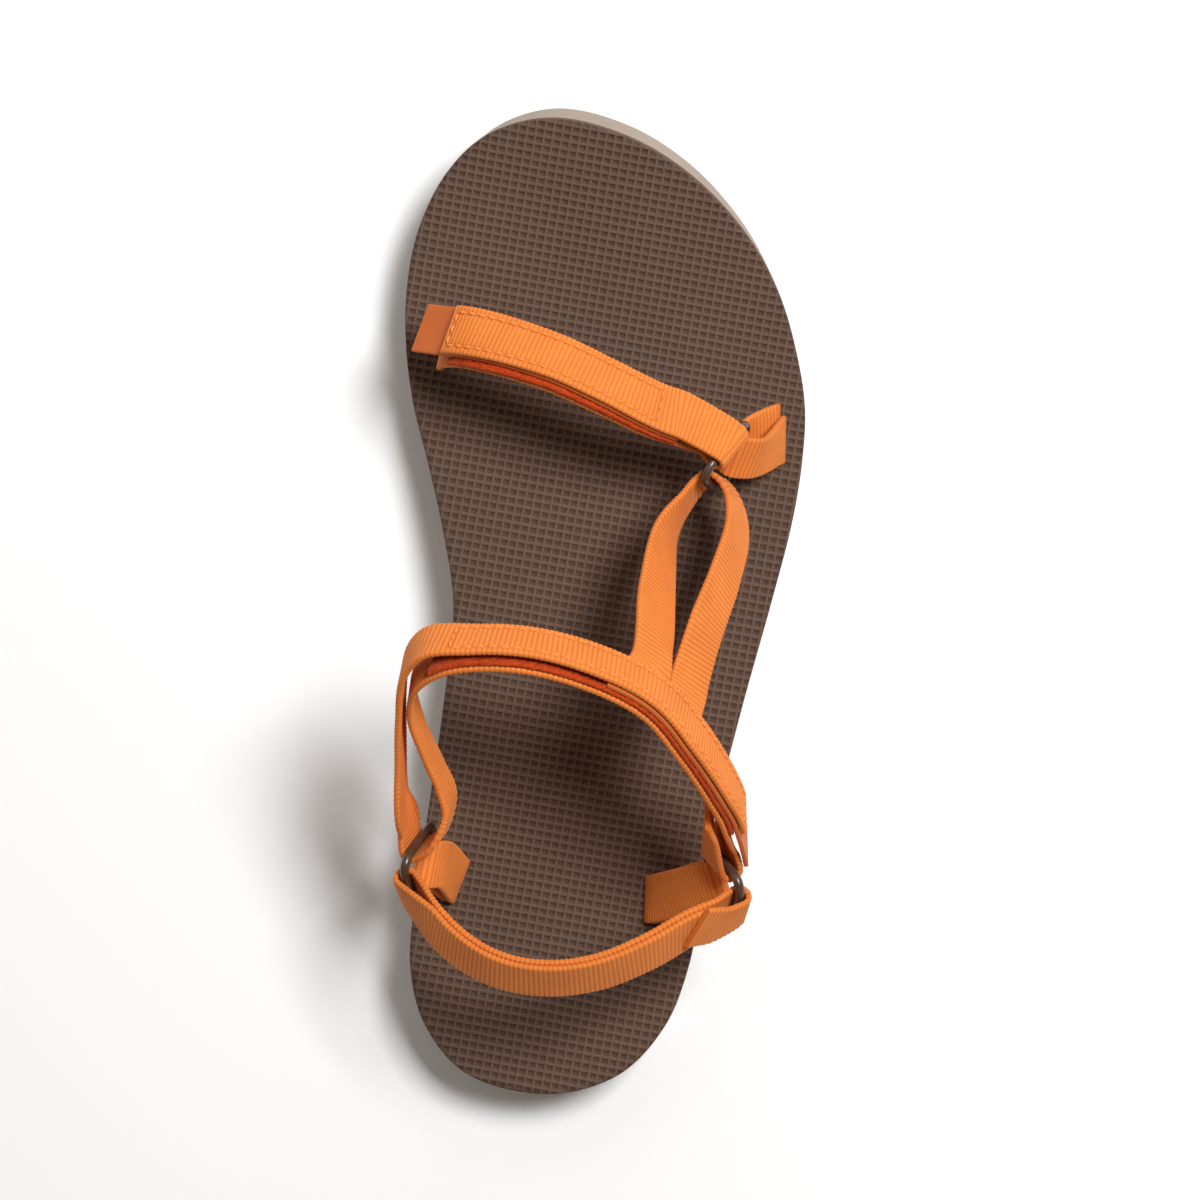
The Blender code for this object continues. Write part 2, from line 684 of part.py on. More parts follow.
def build_toe_strap(parts, finishes):
    """Toe strap: up from the inner slot, over to the ring, round it and back, closed by its tapes."""
    turn = fold(TOE_RING, FIRST_SIDE, TOE_STRAP_PULL, DOWNWARD, TOE_RUN[-1][3:])
    lower = tucked(TOE_MEDIAL_SLOT) + table_rows(TOE_RUN) + turn[:2]
    run = sections(lower)
    upper = stretch(run, TOE_CLOSED_TO, TOE_CLOSED_FROM, CLOSURE_LIFT, TOE_SKEW)
    strap = lower + turn[2:-1] + upper
    hook = stretch(run, TOE_CLOSED_FROM, TOE_HOOK_TO, HOOK_TAPE_LIFT, TOE_SKEW, TAPE_WIDTH)
    loop = stretch(run, TOE_LOOP_FROM, TOE_LOOP_TO, LOOP_TAPE_LIFT, 0.0, TAPE_WIDTH)
    web_object("toe_strap", strap, parts, finishes["webbing"])
    tape_object("toe_hook_tape", pull_tab(hook, TOE_TAB_LIFT) + hook, parts, finishes["tape"])
    tape_object("toe_loop_tape", loop, parts, finishes["fleece"])


def build_ankle_strap(parts, cutters, finishes):
    """Ankle strap on both heel rings, with the instep loop sewn to its inner face."""
    first = fold(HEEL_RING_LATERAL, FIRST_SIDE, ANKLE_LATERAL_PULL, INWARD, ANKLE_RUN[0][3:])
    turn = fold(HEEL_RING_MEDIAL, FIRST_SIDE, ANKLE_MEDIAL_PULL, OUTWARD, ANKLE_RUN[-1][3:], ANKLE_SPREAD)
    main = first[-2:] + table_rows(ANKLE_RUN) + turn[:2]
    run = sections(main)
    sewn_end = stretch(run, ANKLE_END_FROM, ANKLE_END_TO, ANKLE_END_LIFT)
    upper = stretch(run, ANKLE_CLOSED_TO, ANKLE_CLOSED_FROM, CLOSURE_LIFT)
    rows = sewn_end + first[1:-2] + main + turn[2:] + table_rows(ANKLE_OUTER_LEG) + upper
    ankle = web_object("ankle_strap", rows, parts, finishes["webbing"])
    hook = stretch(run, ANKLE_CLOSED_FROM, ANKLE_HOOK_TO, HOOK_TAPE_LIFT, 0.0, TAPE_WIDTH)
    loop = stretch(run, ANKLE_LOOP_FROM, ANKLE_LOOP_TO, LOOP_TAPE_LIFT, 0.0, TAPE_WIDTH)
    tape_object("ankle_hook_tape", pull_tab(hook, ANKLE_TAB_LIFT) + hook, parts, finishes["tape"])
    tape_object("ankle_loop_tape", loop, parts, finishes["fleece"])
    over = fold(TOE_RING, SECOND_SIDE, INSTEP_PULL, INWARD, UPWARD, INSTEP_SPREAD, INSTEP_APPROACH)
    medial_leg = sewn_on(run, INSTEP_MEDIAL_AT) + table_rows(INSTEP_MEDIAL_LEG)
    lateral_leg = table_rows(INSTEP_LATERAL_LEG) + sewn_on(run, INSTEP_LATERAL_AT)[::-1]
    instep = web_object("instep_loop", medial_leg + over + lateral_leg, cutters, None)
    instep.hide_render = True
    instep.display_type = "WIRE"
    join = ankle.modifiers.new("instep_loop", "BOOLEAN")
    join.operation = "UNION"
    join.object = instep


def build_heel_strap(parts, finishes):
    """Heel strap of two sewn layers between the heel rings, its end returned over the outside."""
    near = fold(HEEL_RING_MEDIAL, SECOND_SIDE, HEEL_MEDIAL_PULL, OUTWARD, HEEL_RUN[0][3:])
    far = fold(HEEL_RING_LATERAL, SECOND_SIDE, HEEL_LATERAL_PULL, OUTWARD, HEEL_RUN[-1][3:])
    start = Row(ring_side(HEEL_RING_MEDIAL, SECOND_SIDE)[0], near[0].edge, WEB_WIDTH)
    end = Row(ring_side(HEEL_RING_LATERAL, SECOND_SIDE)[0], far[0].edge, WEB_WIDTH)
    run = sections([start, *table_rows(HEEL_RUN), end])
    half = LAYER_STEP / 2
    returned = stretch(run, HEEL_RETURN_FROM, HEEL_PART_TO, half + LAYER_STEP, HEEL_RETURN_SLIDE)
    inside = stretch(run, HEEL_PART_TO, HEEL_PART_FROM, -half)
    outside = stretch(run, HEEL_PART_FROM, HEEL_END_AT, half)
    rows = returned + far[1:-1] + inside + near[1:-1] + outside
    web_object("heel_strap", rows, parts, finishes["webbing"])


def build_anchor(anchor, parts, finish):
    """Loop of webbing from a slot up round a ring's lowest bar and down again."""
    slot = anchor.slot
    edge = (slot.dir_x, slot.dir_y, 0.0)
    turn = fold(anchor.ring, THIRD_SIDE, anchor.pull, anchor.first_layer, edge, anchor.spread)
    facing = Vector((slot.dir_y, -slot.dir_x, 0.0)).dot(Vector(anchor.first_layer))
    layer = math.copysign(0.5, facing)
    rows = tucked(slot, layer) + turn + tucked(slot, -layer)[::-1]
    web_object(anchor.name, rows, parts, finish)


def web_object(name, rows, collection, finish):
    """Object of one piece of webbing."""
    mesh = mesh_from(band(sections(rows), WEB_THICKNESS), name)
    return new_object(name, mesh, collection, finish)


def tape_object(name, rows, collection, finish):
    """Object of one piece of fastening tape, bent at the same places as the strap it is sewn to."""
    mesh = mesh_from(band(sections(rows, ROWS_ONLY), TAPE_THICKNESS), name)
    return new_object(name, mesh, collection, finish)


def centre_on_floor(parts):
    """Move the whole sandal so that the middle of its box stands on the origin."""
    depsgraph = bpy.context.evaluated_depsgraph_get()
    corners = []
    for part in parts.objects:
        mesh = part.evaluated_get(depsgraph).to_mesh()
        corners += [vert.co.copy() for vert in mesh.vertices]
    lowest = Vector([min(corner[axis] for corner in corners) for axis in range(3)])
    highest = Vector([max(corner[axis] for corner in corners) for axis in range(3)])
    shift = Vector((-(lowest.x + highest.x) / 2, -(lowest.y + highest.y) / 2, -lowest.z))
    for collection in bpy.context.scene.collection.children:
        for part in collection.objects:
            part.location = shift


def build():
    """Build every piece of the sandal."""
    for old in list(bpy.data.objects):
        bpy.data.objects.remove(old)
    parts = bpy.data.collections.new("sport_sandal")
    cutters = bpy.data.collections.new("cutters")
    for collection in (parts, cutters):
        bpy.context.scene.collection.children.link(collection)
    finishes = {
        "foam": material("sole_foam", (0.50, 0.40, 0.33), 0.75, 0.0),
        "footbed": material("footbed_foam", (0.15, 0.10, 0.075), 0.8, 0.0),
        "webbing": material("orange_webbing", (0.90, 0.28, 0.06), 0.8, 0.0),
        "tape": material("orange_tape", (0.62, 0.15, 0.03), 0.65, 0.0),
        "fleece": material("loop_fleece", (0.42, 0.06, 0.02), 0.95, 0.0),
        "ring": material("brown_ring", (0.06, 0.035, 0.025), 0.3, 0.0),
    }
    build_sole(parts, cutters, finishes)
    for name, ring in (
        ("toe_ring", TOE_RING),
        ("heel_ring_medial", HEEL_RING_MEDIAL),
        ("heel_ring_lateral", HEEL_RING_LATERAL),
    ):
        build_ring(name, ring, parts, finishes["ring"])
    build_toe_strap(parts, finishes)
    build_ankle_strap(parts, cutters, finishes)
    build_heel_strap(parts, finishes)
    for anchor in ANCHORS:
        build_anchor(anchor, parts, finishes["webbing"])
    bpy.context.view_layer.update()
    centre_on_floor(parts)


build()
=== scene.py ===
"""Dressed sport sandal for the right foot: pitted footbed, foam sole, ribbed webbing, tapes and rings.

Lengths are millimetres, and metres in the finishes and the studio. Meshes are made in metres, in the frame of
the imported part: +Y points to the toe, +X to the outer side of the foot and +Z up.
"""

import logging
import math
from dataclasses import dataclass, field
from enum import Enum
from typing import Callable, NamedTuple, Optional, Protocol, Sequence

import bmesh
import bpy
import numpy as np
from mathutils import Matrix, Vector

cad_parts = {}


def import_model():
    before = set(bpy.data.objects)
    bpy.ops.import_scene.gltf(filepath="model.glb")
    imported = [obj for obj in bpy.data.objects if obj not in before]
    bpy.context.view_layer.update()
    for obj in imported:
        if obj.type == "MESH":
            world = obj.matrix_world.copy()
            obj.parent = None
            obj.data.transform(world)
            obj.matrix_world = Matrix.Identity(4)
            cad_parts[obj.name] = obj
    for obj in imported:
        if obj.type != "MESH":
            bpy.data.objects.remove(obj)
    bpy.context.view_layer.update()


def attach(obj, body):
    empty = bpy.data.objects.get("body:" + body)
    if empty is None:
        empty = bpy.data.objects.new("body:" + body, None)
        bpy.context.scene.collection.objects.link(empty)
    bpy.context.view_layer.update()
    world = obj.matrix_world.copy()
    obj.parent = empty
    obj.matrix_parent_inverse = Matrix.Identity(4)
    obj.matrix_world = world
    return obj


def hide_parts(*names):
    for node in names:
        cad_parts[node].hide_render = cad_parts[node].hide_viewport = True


Array = np.ndarray
Pair = tuple[float, float]
Triple = tuple[float, float, float]
Socket = bpy.types.NodeSocket
LOG = logging.getLogger("sandal")

MM = 0.001
CENTRING = np.array((0.061, 0.405, 0.0))

# Room between layers, then sizes of the webbing, the tapes and the rings.
GAP = 0.3
WEB_WIDTH = 13.0
WEB_THICKNESS = 1.4
WEB_AT_RING = 12.0
WEB_AT_SLOT = 12.2
TAPE_THICKNESS = 0.9
HOOK_TAPE_BULK = 1.15
LOOP_TAPE_BULK = 1.25
TAPE_SEWN_WIDTH = 12.8
RING_SIDE = 23.5
RING_WIRE = 2.6
RING_CORNER = 3.5
TUCK_DEPTH = 8.5
FOLD_RADIUS = RING_WIRE / 2 + GAP + WEB_THICKNESS / 2
FOLD_STEPS = 6
LAYER_STEP = WEB_THICKNESS + GAP
CLOSURE_LIFT = 2 * FOLD_RADIUS
TAPE_GAP = (CLOSURE_LIFT - WEB_THICKNESS - 2 * TAPE_THICKNESS) / 3
LOOP_TAPE_LIFT = WEB_THICKNESS / 2 + TAPE_GAP + TAPE_THICKNESS / 2
HOOK_TAPE_LIFT = CLOSURE_LIFT - LOOP_TAPE_LIFT
# Steps between points, turns in degrees, and small values.
RUN_STEP = 3.2
CURVE_STEP = 0.2
SEAM_STEP = 0.5
OUTLINE_STEP = 0.5
SELVEDGE_TURNS = (0.0, 35.0, 65.0, 90.0)
CORNER_TURN = 120.0
NUDGE = 0.01
TINY = 1e-9
WHITE = (1.0, 1.0, 1.0)
SHARP = 60.0

OUTWARD = (1.0, 0.0, 0.0)
INWARD = (-1.0, 0.0, 0.0)
UPWARD = (0.0, 0.0, 1.0)
DOWNWARD = (0.0, 0.0, -1.0)


class RingBar(Enum):
    """Sides of a three-sided ring, as turns in degrees from its first side."""

    FIRST = 0.0
    SECOND = 120.0
    THIRD = 240.0


class Slot(Enum):
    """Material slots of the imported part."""

    SOLE = "sole_foam"
    FOOTBED = "footbed_foam"
    RING = "ring_plastic"
    WEBBING = "webbing"
    TAPE = "tape"
    FLEECE = "fleece"


class Station(NamedTuple):
    """One row of the sole's outline, as shares of its length and of half its ball width."""

    along: float
    medial: float
    lateral: float


class Wall(NamedTuple):
    """One row of a side wall: share of its height, how far it stands out, and its tuck at the sides."""

    share: float
    outset: float
    tuck: float


class Run(NamedTuple):
    """One row of a strap's route: its middle, and which way its upper or front edge points."""

    x: float
    y: float
    z: float
    edge_x: float
    edge_y: float
    edge_z: float


class Row(NamedTuple):
    """One row of a band as vectors."""

    point: Array
    edge: Array
    width: float


# Outline of the sole, from the heel tip to the toe tip.
OUTLINE = (
    Station(0.000, -0.280, -0.280),
    Station(0.020, -0.690, 0.070),
    Station(0.069, -0.900, 0.298),
    Station(0.130, -0.975, 0.418),
    Station(0.211, -0.940, 0.490),
    Station(0.292, -0.880, 0.560),
    Station(0.394, -0.806, 0.686),
    Station(0.495, -0.757, 0.825),
    Station(0.576, -0.816, 0.929),
    Station(0.637, -0.884, 0.980),
    Station(0.698, -0.959, 1.000),
    Station(0.759, -0.996, 0.959),
    Station(0.820, -0.984, 0.875),
    Station(0.880, -0.920, 0.722),
    Station(0.941, -0.770, 0.455),
    Station(0.982, -0.560, 0.135),
    Station(1.000, -0.240, -0.240),
)
# Routes of the straps, each in the order that its webbing runs.
TOE_RUN = (
    Run(-40.0, 64.3, 31.0, 0.23, 0.96, -0.05),
    Run(-37.6, 64.4, 40.0, 0.24, 0.94, -0.18),
    Run(-32.6, 63.6, 47.6, 0.25, 0.90, -0.33),
    Run(-23.7, 61.1, 52.6, 0.26, 0.86, -0.46),
    Run(-11.3, 56.8, 54.8, 0.30, 0.84, -0.58),
    Run(0.9, 51.2, 54.0, 0.36, 0.82, -0.64),
    Run(11.8, 46.3, 50.8, 0.40, 0.82, -0.60),
)
ANKLE_RUN = (
    Run(30.1, -51.0, 64.8, -0.06, -0.34, 0.94),
    Run(26.9, -43.8, 72.6, -0.18, -0.33, 0.92),
    Run(19.8, -32.4, 82.2, -0.27, -0.33, 0.90),
    Run(12.0, -23.2, 88.0, -0.26, -0.38, 0.89),
    Run(-1.3, -16.2, 91.5, -0.18, -0.45, 0.88),
    Run(-17.7, -12.0, 93.0, -0.06, -0.47, 0.88),
    Run(-34.0, -12.3, 90.0, 0.00, -0.48, 0.88),
    Run(-42.0, -16.0, 83.5, -0.10, -0.62, 0.78),
    Run(-44.8, -22.6, 76.0, -0.02, -0.68, 0.73),
    Run(-42.6, -32.7, 68.0, 0.06, -0.64, 0.77),
    Run(-39.2, -41.5, 62.0, 0.00, -0.57, 0.82),
    Run(-37.0, -49.6, 58.2, -0.14, -0.52, 0.84),
)
ANKLE_OUTER_LEG = (
    Run(-48.4, -48.8, 62.0, -0.10, -0.58, 0.81),
    Run(-48.0, -34.7, 69.6, -0.06, -0.60, 0.80),
    Run(-47.3, -23.8, 77.0, -0.05, -0.64, 0.77),
    Run(-45.2, -13.4, 85.6, -0.08, -0.64, 0.76),
    Run(-39.8, -8.4, 91.0, -0.04, -0.52, 0.85),
)
INSTEP_MEDIAL_LEG = (
    Run(12.4, -14.4, 78.0, -0.68, 0.40, 0.60),
    Run(13.2, -7.5, 73.0, -0.62, 0.25, 0.74),
    Run(13.8, 2.7, 62.0, -0.56, 0.12, 0.82),
    Run(15.9, 16.4, 49.5, -0.38, 0.05, 0.93),
    Run(19.8, 23.6, 43.0, -0.25, 0.00, 0.97),
)
INSTEP_LATERAL_LEG = (
    Run(32.6, 25.0, 42.0, -0.22, 0.00, 0.97),
    Run(33.3, 18.0, 46.5, -0.36, 0.05, 0.93),
    Run(30.2, 6.4, 55.5, -0.50, 0.08, 0.86),
    Run(25.4, -6.2, 63.6, -0.60, 0.15, 0.77),
    Run(21.2, -20.2, 69.0, -0.66, 0.30, 0.68),
)
HEEL_RUN = (
    Run(-42.4, -75.8, 61.5, 0.38, 0.38, 0.84),
    Run(-34.2, -83.2, 66.8, 0.32, 0.50, 0.80),
    Run(-23.9, -88.3, 69.8, 0.16, 0.60, 0.79),
    Run(-11.9, -90.0, 70.8, 0.00, 0.62, 0.79),
    Run(0.1, -88.4, 69.8, -0.16, 0.58, 0.80),
    Run(12.0, -83.8, 67.0, -0.24, 0.52, 0.82),
    Run(21.6, -78.8, 62.4, -0.26, 0.46, 0.85),
)


def vector(values: Sequence[float]) -> Array:
    """Array of floats."""
    return np.array(values, float)


def unit(values: Sequence[float]) -> Array:
    """Vector, or each row of an array, at length one."""
    array = vector(values)
    return array / np.linalg.norm(array, axis=-1, keepdims=True)


def smooth(value: Array, start: float, end: float) -> Array:
    """Soft step from 0 at start to 1 at end."""
    share = np.clip((np.asarray(value, float) - start) / (end - start), 0.0, 1.0)
    return share * share * (3.0 - 2.0 * share)


def lengths_along(points: Array) -> Array:
    """Length of a run of points up to each of them."""
    steps = np.linalg.norm(np.diff(points, axis=0), axis=1)
    return np.concatenate([[0.0], np.cumsum(steps)])


def read_at(places: Array, known: Array, columns: Array) -> Array:
    """Columns of values read between the places where they are known."""
    return np.stack([np.interp(places, known, column) for column in columns.T], 1)


def in_scene(name: str, data: bpy.types.ID) -> bpy.types.Object:
    """Object in the scene.

    Args:
        name: Its name.
        data: Its mesh, light or camera.

    Returns:
        The object.
    """
    made = bpy.data.objects.new(name, data)
    bpy.context.scene.collection.objects.link(made)
    return made


def on_curve(four: Array, knots: Array, time: Array) -> Array:
    """Points on the middle span of a curve through four points.

    Args:
        four: The control points.
        knots: Their knot times.
        time: Times to place points at.

    Returns:
        One point for each time.
    """
    pairs = (((0, 1), (1, 2), (2, 3)), ((0, 2), (1, 3)), ((1, 2),))
    level = [np.repeat(point[None], len(time), 0) for point in four]
    for spans in pairs:
        made = []
        for index, (low, high) in enumerate(spans):
            share = ((time - knots[low]) / (knots[high] - knots[low]))[:, None]
            made.append(level[index] * (1.0 - share) + level[index + 1] * share)
        level = made
    return level[0]


def curve_through(points: Array, spacing: float) -> tuple[Array, Array]:
    """Centripetal curve through some points.

    Args:
        points: The points, in order.
        spacing: Rough distance between the points made.

    Returns:
        Points on the curve, and the place of each in the given points as index plus share.
    """
    chain = np.vstack([2 * points[0] - points[1], points, 2 * points[-1] - points[-2]])
    placed = []
    places = []
    for index in range(1, len(chain) - 2):
        four = chain[index - 1:index + 3]
        lengths = np.linalg.norm(np.diff(four, axis=0), axis=1)
        knots = np.concatenate([[0.0], np.cumsum(np.maximum(lengths, MM) ** 0.5)])
        count = max(1, round(lengths[1] / spacing))
        shares = np.arange(count) / count
        placed.append(on_curve(four, knots, knots[1] + (knots[2] - knots[1]) * shares))
        places.append(index - 1 + shares)
    return np.vstack([*placed, points[-1:]]), np.concatenate([*places, [len(points) - 1.0]])


@dataclass(frozen=True)
class Line:
    """Cross-sections along the middle of a band.

    Attributes:
        point: Middle of each section.
        along: Direction of the band there.
        edge: Direction to its upper or front edge.
        face: Direction out of its outer face.
        width: Width there.
    """

    point: Array
    along: Array
    edge: Array
    face: Array
    width: Array

    @classmethod
    def through(cls, rows: Sequence[Row], spacing: float) -> "Line":
        """Sections along a smooth curve through some rows.

        Args:
            rows: The rows, in order.
            spacing: Rough distance between sections.

        Returns:
            The line.
        """
        point, place = curve_through(np.array([row.point for row in rows]), spacing)
        index = np.arange(len(rows))
        edges = np.array([row.edge for row in rows])
        edge = read_at(place, index, edges)
        return cls.square(point, edge, np.interp(place, index, [row.width for row in rows]))

    @classmethod
    def square(cls, point: Array, edge: Array, width: Array) -> "Line":
        """Sections square to the run of their middles.

        Args:
            point: Their middles.
            edge: Rough directions to the upper or front edge.
            width: Their widths.

        Returns:
            The line.
        """
        ahead = np.vstack([point[1:], point[-1:]])
        behind = np.vstack([point[:1], point[:-1]])
        along = unit(ahead - behind)
        edge = unit(edge - along * (edge * along).sum(1, keepdims=True))
        return cls(point, along, edge, np.cross(along, edge), width)

    @property
    def distance(self) -> Array:
        """Length of the band up to each section."""
        return lengths_along(self.point)

    def even(self, step: float, soften: float = 1.5) -> "Line":
        """The same band in equal steps, with its twist evened out.

        Args:
            step: Distance between sections.
            soften: Reach over which the twist is averaged.

        Returns:
            The new line.
        """
        distance = self.distance
        count = max(2, round(distance[-1] / step))
        at = np.linspace(0.0, distance[-1], count + 1)
        columns = np.column_stack([self.point, self.edge, self.width])
        columns = read_at(at, distance, columns)
        reach = max(1, round(soften / step))
        padded = np.pad(columns[:, 3:6], ((reach, reach), (0, 0)), "edge")
        edge = np.mean([padded[shift:shift + count + 1] for shift in range(2 * reach + 1)], 0)
        return Line.square(columns[:, :3], edge, columns[:, 6])

    def stretch(self, first: float, last: float, lift: float, slide: float = 0.0,
                width: float = WEB_WIDTH) -> list[Row]:
        """Rows along part of the run, lifted off its face.

        Args:
            first: Share of the run to start at.
            last: Share of the run to end at.
            lift: Height over the middle of the run.
            slide: How far the rows move across the run at its start.
            width: Width of the rows.

        Returns:
            The rows, in order from first to last.
        """
        total = len(self.point) - 1
        start = round(first * total)
        end = round(last * total)
        step = 1 if end > start else -1
        rows = []
        for index in range(start, end + step, step):
            skew = slide * (max(start, end) - index) / max(abs(end - start), 1)
            place = self.point[index] + self.face[index] * lift + self.edge[index] * skew
            rows.append(Row(place, self.edge[index], width))
        return rows

    def on_face(self, distance: Array, across: Array, lift: Array) -> Array:
        """Points on or over the outer face.

        Args:
            distance: Lengths along the band.
            across: Offsets towards its edge.
            lift: Heights over its middle.

        Returns:
            The points.
        """
        known = self.distance
        point, edge, face = (read_at(distance, known, rows) for rows in (self.point, self.edge, self.face))
        return point + edge * across[:, None] + face * lift[:, None]


@dataclass(frozen=True)
class SoleForm:
    """Shape of the last that sole and footbed are cut to: outline, heights and toe spring.

    Attributes:
        drop: Where the footbed's drop from heel to ball starts and ends.
        arch_at: Where the arch is highest, and arch_reach how far it runs.
        arch_edge: Where it has its full height, as a share of the ball width.
        cup_radii: Flat middle of the heel cup, and its rim.
        waist: Where the raised waist starts and ends.
        flex_at: Point on the line that the toe bends about, and flex_turn the turn of that line.
        spring_radius: Radius of the toe spring.
    """

    length: float = 252.0
    ball_width: float = 102.0
    heel_height: float = 22.0
    ball_height: float = 20.0
    drop: Pair = (-45.0, 30.0)
    arch_rise: float = 1.6
    arch_at: float = -8.0
    arch_reach: float = 38.0
    arch_edge: float = -0.38
    cup_depth: float = 1.0
    cup_at: Pair = (-13.0, -86.0)
    cup_radii: Pair = (7.0, 34.0)
    waist_rise: float = 2.5
    waist: Pair = (-42.0, 8.0)
    flex_at: Pair = (0.0, 50.0)
    flex_turn: float = math.radians(17.5)
    spring_radius: float = 313.0
    footbed_thickness: float = 4.0

    def outline(self, steps: int) -> Array:
        """Closed plan outline from the heel tip, along the outer side first.

        Args:
            steps: Even steps on each half.

        Returns:
            Plan points.
        """
        half = self.ball_width / 2
        lateral = [(row.lateral * half, (row.along - 0.5) * self.length) for row in OUTLINE]
        medial = [(row.medial * half, (row.along - 0.5) * self.length) for row in reversed(OUTLINE)]
        halves = []
        for before, side, after in ((medial[-2], lateral, medial[1]), (lateral[-2], medial, lateral[1])):
            points = np.array([before, *side, after])
            curve, place = curve_through(np.column_stack([points, np.zeros(len(points))]), OUTLINE_STEP)
            curve = curve[(place >= 1.0) & (place <= len(side))]
            lengths = lengths_along(curve)
            at = np.linspace(0.0, lengths[-1], steps + 1)[:-1]
            halves.append(read_at(at, lengths, curve[:, :2]))
        return np.vstack(halves)

    def top(self, plan: Array) -> Array:
        """Height of the flat footbed, with its arch and heel cup.

        Args:
            plan: Plan points.

        Returns:
            One height for each point.
        """
        x, y = plan[:, 0], plan[:, 1]
        height = self.heel_height + (self.ball_height - self.heel_height) * smooth(y, *self.drop)
        inward = smooth(x, 0.0, self.arch_edge * self.ball_width)
        arch = np.exp(-((y - self.arch_at) / self.arch_reach) ** 2) * inward
        reach = np.hypot(x - self.cup_at[0], y - self.cup_at[1])
        return height + self.arch_rise * arch - self.cup_depth * (1.0 - smooth(reach, *self.cup_radii))

    def underside(self, plan: Array) -> Array:
        """Height of the flat sole's bottom, raised a little at the waist.

        Args:
            plan: Plan points.

        Returns:
            One height for each point.
        """
        low, high = self.waist
        middle, quarter = (low + high) / 2, (high - low) / 4
        y = plan[:, 1]
        return self.waist_rise * smooth(y, low, middle - quarter) * smooth(y, high, middle + quarter)

    def bent(self, points: Array) -> Array:
        """Places of points after the toe is bent up about the slanting flex line.

        Args:
            points: Points of the flat sole.

        Returns:
            Their places on the bent sole.
        """
        across = vector((math.sin(self.flex_turn), math.cos(self.flex_turn), 0.0))
        reach = np.maximum((points[:, :2] - vector(self.flex_at)) @ across[:2], 0.0)
        angle = reach / self.spring_radius
        radius = self.spring_radius - points[:, 2]
        moved = points + across * (radius * np.sin(angle) - reach)[:, None]
        moved[:, 2] = np.where(reach > 0.0, self.spring_radius - radius * np.cos(angle), points[:, 2])
        return moved


@dataclass(frozen=True)
class WebSlot:
    """Slot where webbing goes down into the footbed.

    Attributes:
        dir_x: Plan direction of the slot, with dir_y.
        layers: Layers of webbing in it.
        skew: How far each of two layers is moved along the slot.
        clearance: Room round the webbing.
    """

    x: float
    y: float
    dir_x: float
    dir_y: float
    layers: int
    skew: float = 0.0
    clearance: float = 0.15

    @property
    def edge(self) -> Array:
        """Direction of the slot."""
        return unit((self.dir_x, self.dir_y, 0.0))

    @property
    def size(self) -> Pair:
        """Length and breadth of the slot."""
        length = WEB_AT_SLOT + 2 * (self.clearance + abs(self.skew))
        return length, self.layers * LAYER_STEP - GAP + 2 * self.clearance

    def outside(self, plan: Array) -> Array:
        """Distance of plan points from the slot, less than nothing inside it.

        Args:
            plan: Plan points.

        Returns:
            One distance for each point.
        """
        edge = self.edge[:2]
        side = vector((edge[1], -edge[0]))
        far = np.full(len(plan), np.inf)
        for layer in (-0.5, 0.5) if self.layers == 2 else (0.0,):
            away = plan - vector((self.x, self.y)) - side * layer * LAYER_STEP + edge * 2 * layer * self.skew
            along = np.abs(away @ edge) - WEB_AT_SLOT / 2 - self.clearance
            across = np.abs(away @ side) - WEB_THICKNESS / 2 - self.clearance
            far = np.minimum(far, np.maximum(along, across))
        return far

    def tucked(self, form: SoleForm, layer: float = 0.0) -> list[Row]:
        """Rows of webbing standing in the slot, from its end in the foam up to the footbed.

        Args:
            form: The sole's shape.
            layer: Which layer of the webbing, counted from the middle of the slot.

        Returns:
            The rows, lowest first.
        """
        edge = self.edge
        side = vector((edge[1], -edge[0], 0.0)) * layer * LAYER_STEP - edge * 2 * layer * self.skew
        top = form.top(np.array([(self.x, self.y)]))[0]
        rows = []
        for height in (top - TUCK_DEPTH, top - TUCK_DEPTH / 2, top + WEB_THICKNESS):
            place = vector((self.x, self.y, height)) + side
            rows.append(Row(form.bent(place[None])[0], edge, WEB_AT_SLOT))
        return rows


TOE_MEDIAL_SLOT = WebSlot(-40.4, 64.3, 0.23, 0.97, 1)
TOE_LATERAL_SLOT = WebSlot(44.2, 42.5, 0.04, 1.00, 2, 1.6)
HEEL_MEDIAL_SLOT = WebSlot(-37.9, -71.1, 0.35, 0.94, 2)
HEEL_LATERAL_SLOT = WebSlot(11.9, -76.0, 0.04, 1.00, 2)
SLOTS = (TOE_MEDIAL_SLOT, TOE_LATERAL_SLOT, HEEL_MEDIAL_SLOT, HEEL_LATERAL_SLOT)


# Colour sockets of Blender's mix node, whose names stand for its other types too.
MIX_FIRST, MIX_SECOND, MIX_RESULT = 6, 7, 2


class Dulling(NamedTuple):
    """Duller tint over a colour, and the pattern values where it is full and where it is gone."""

    full: float
    gone: float
    tint: Triple


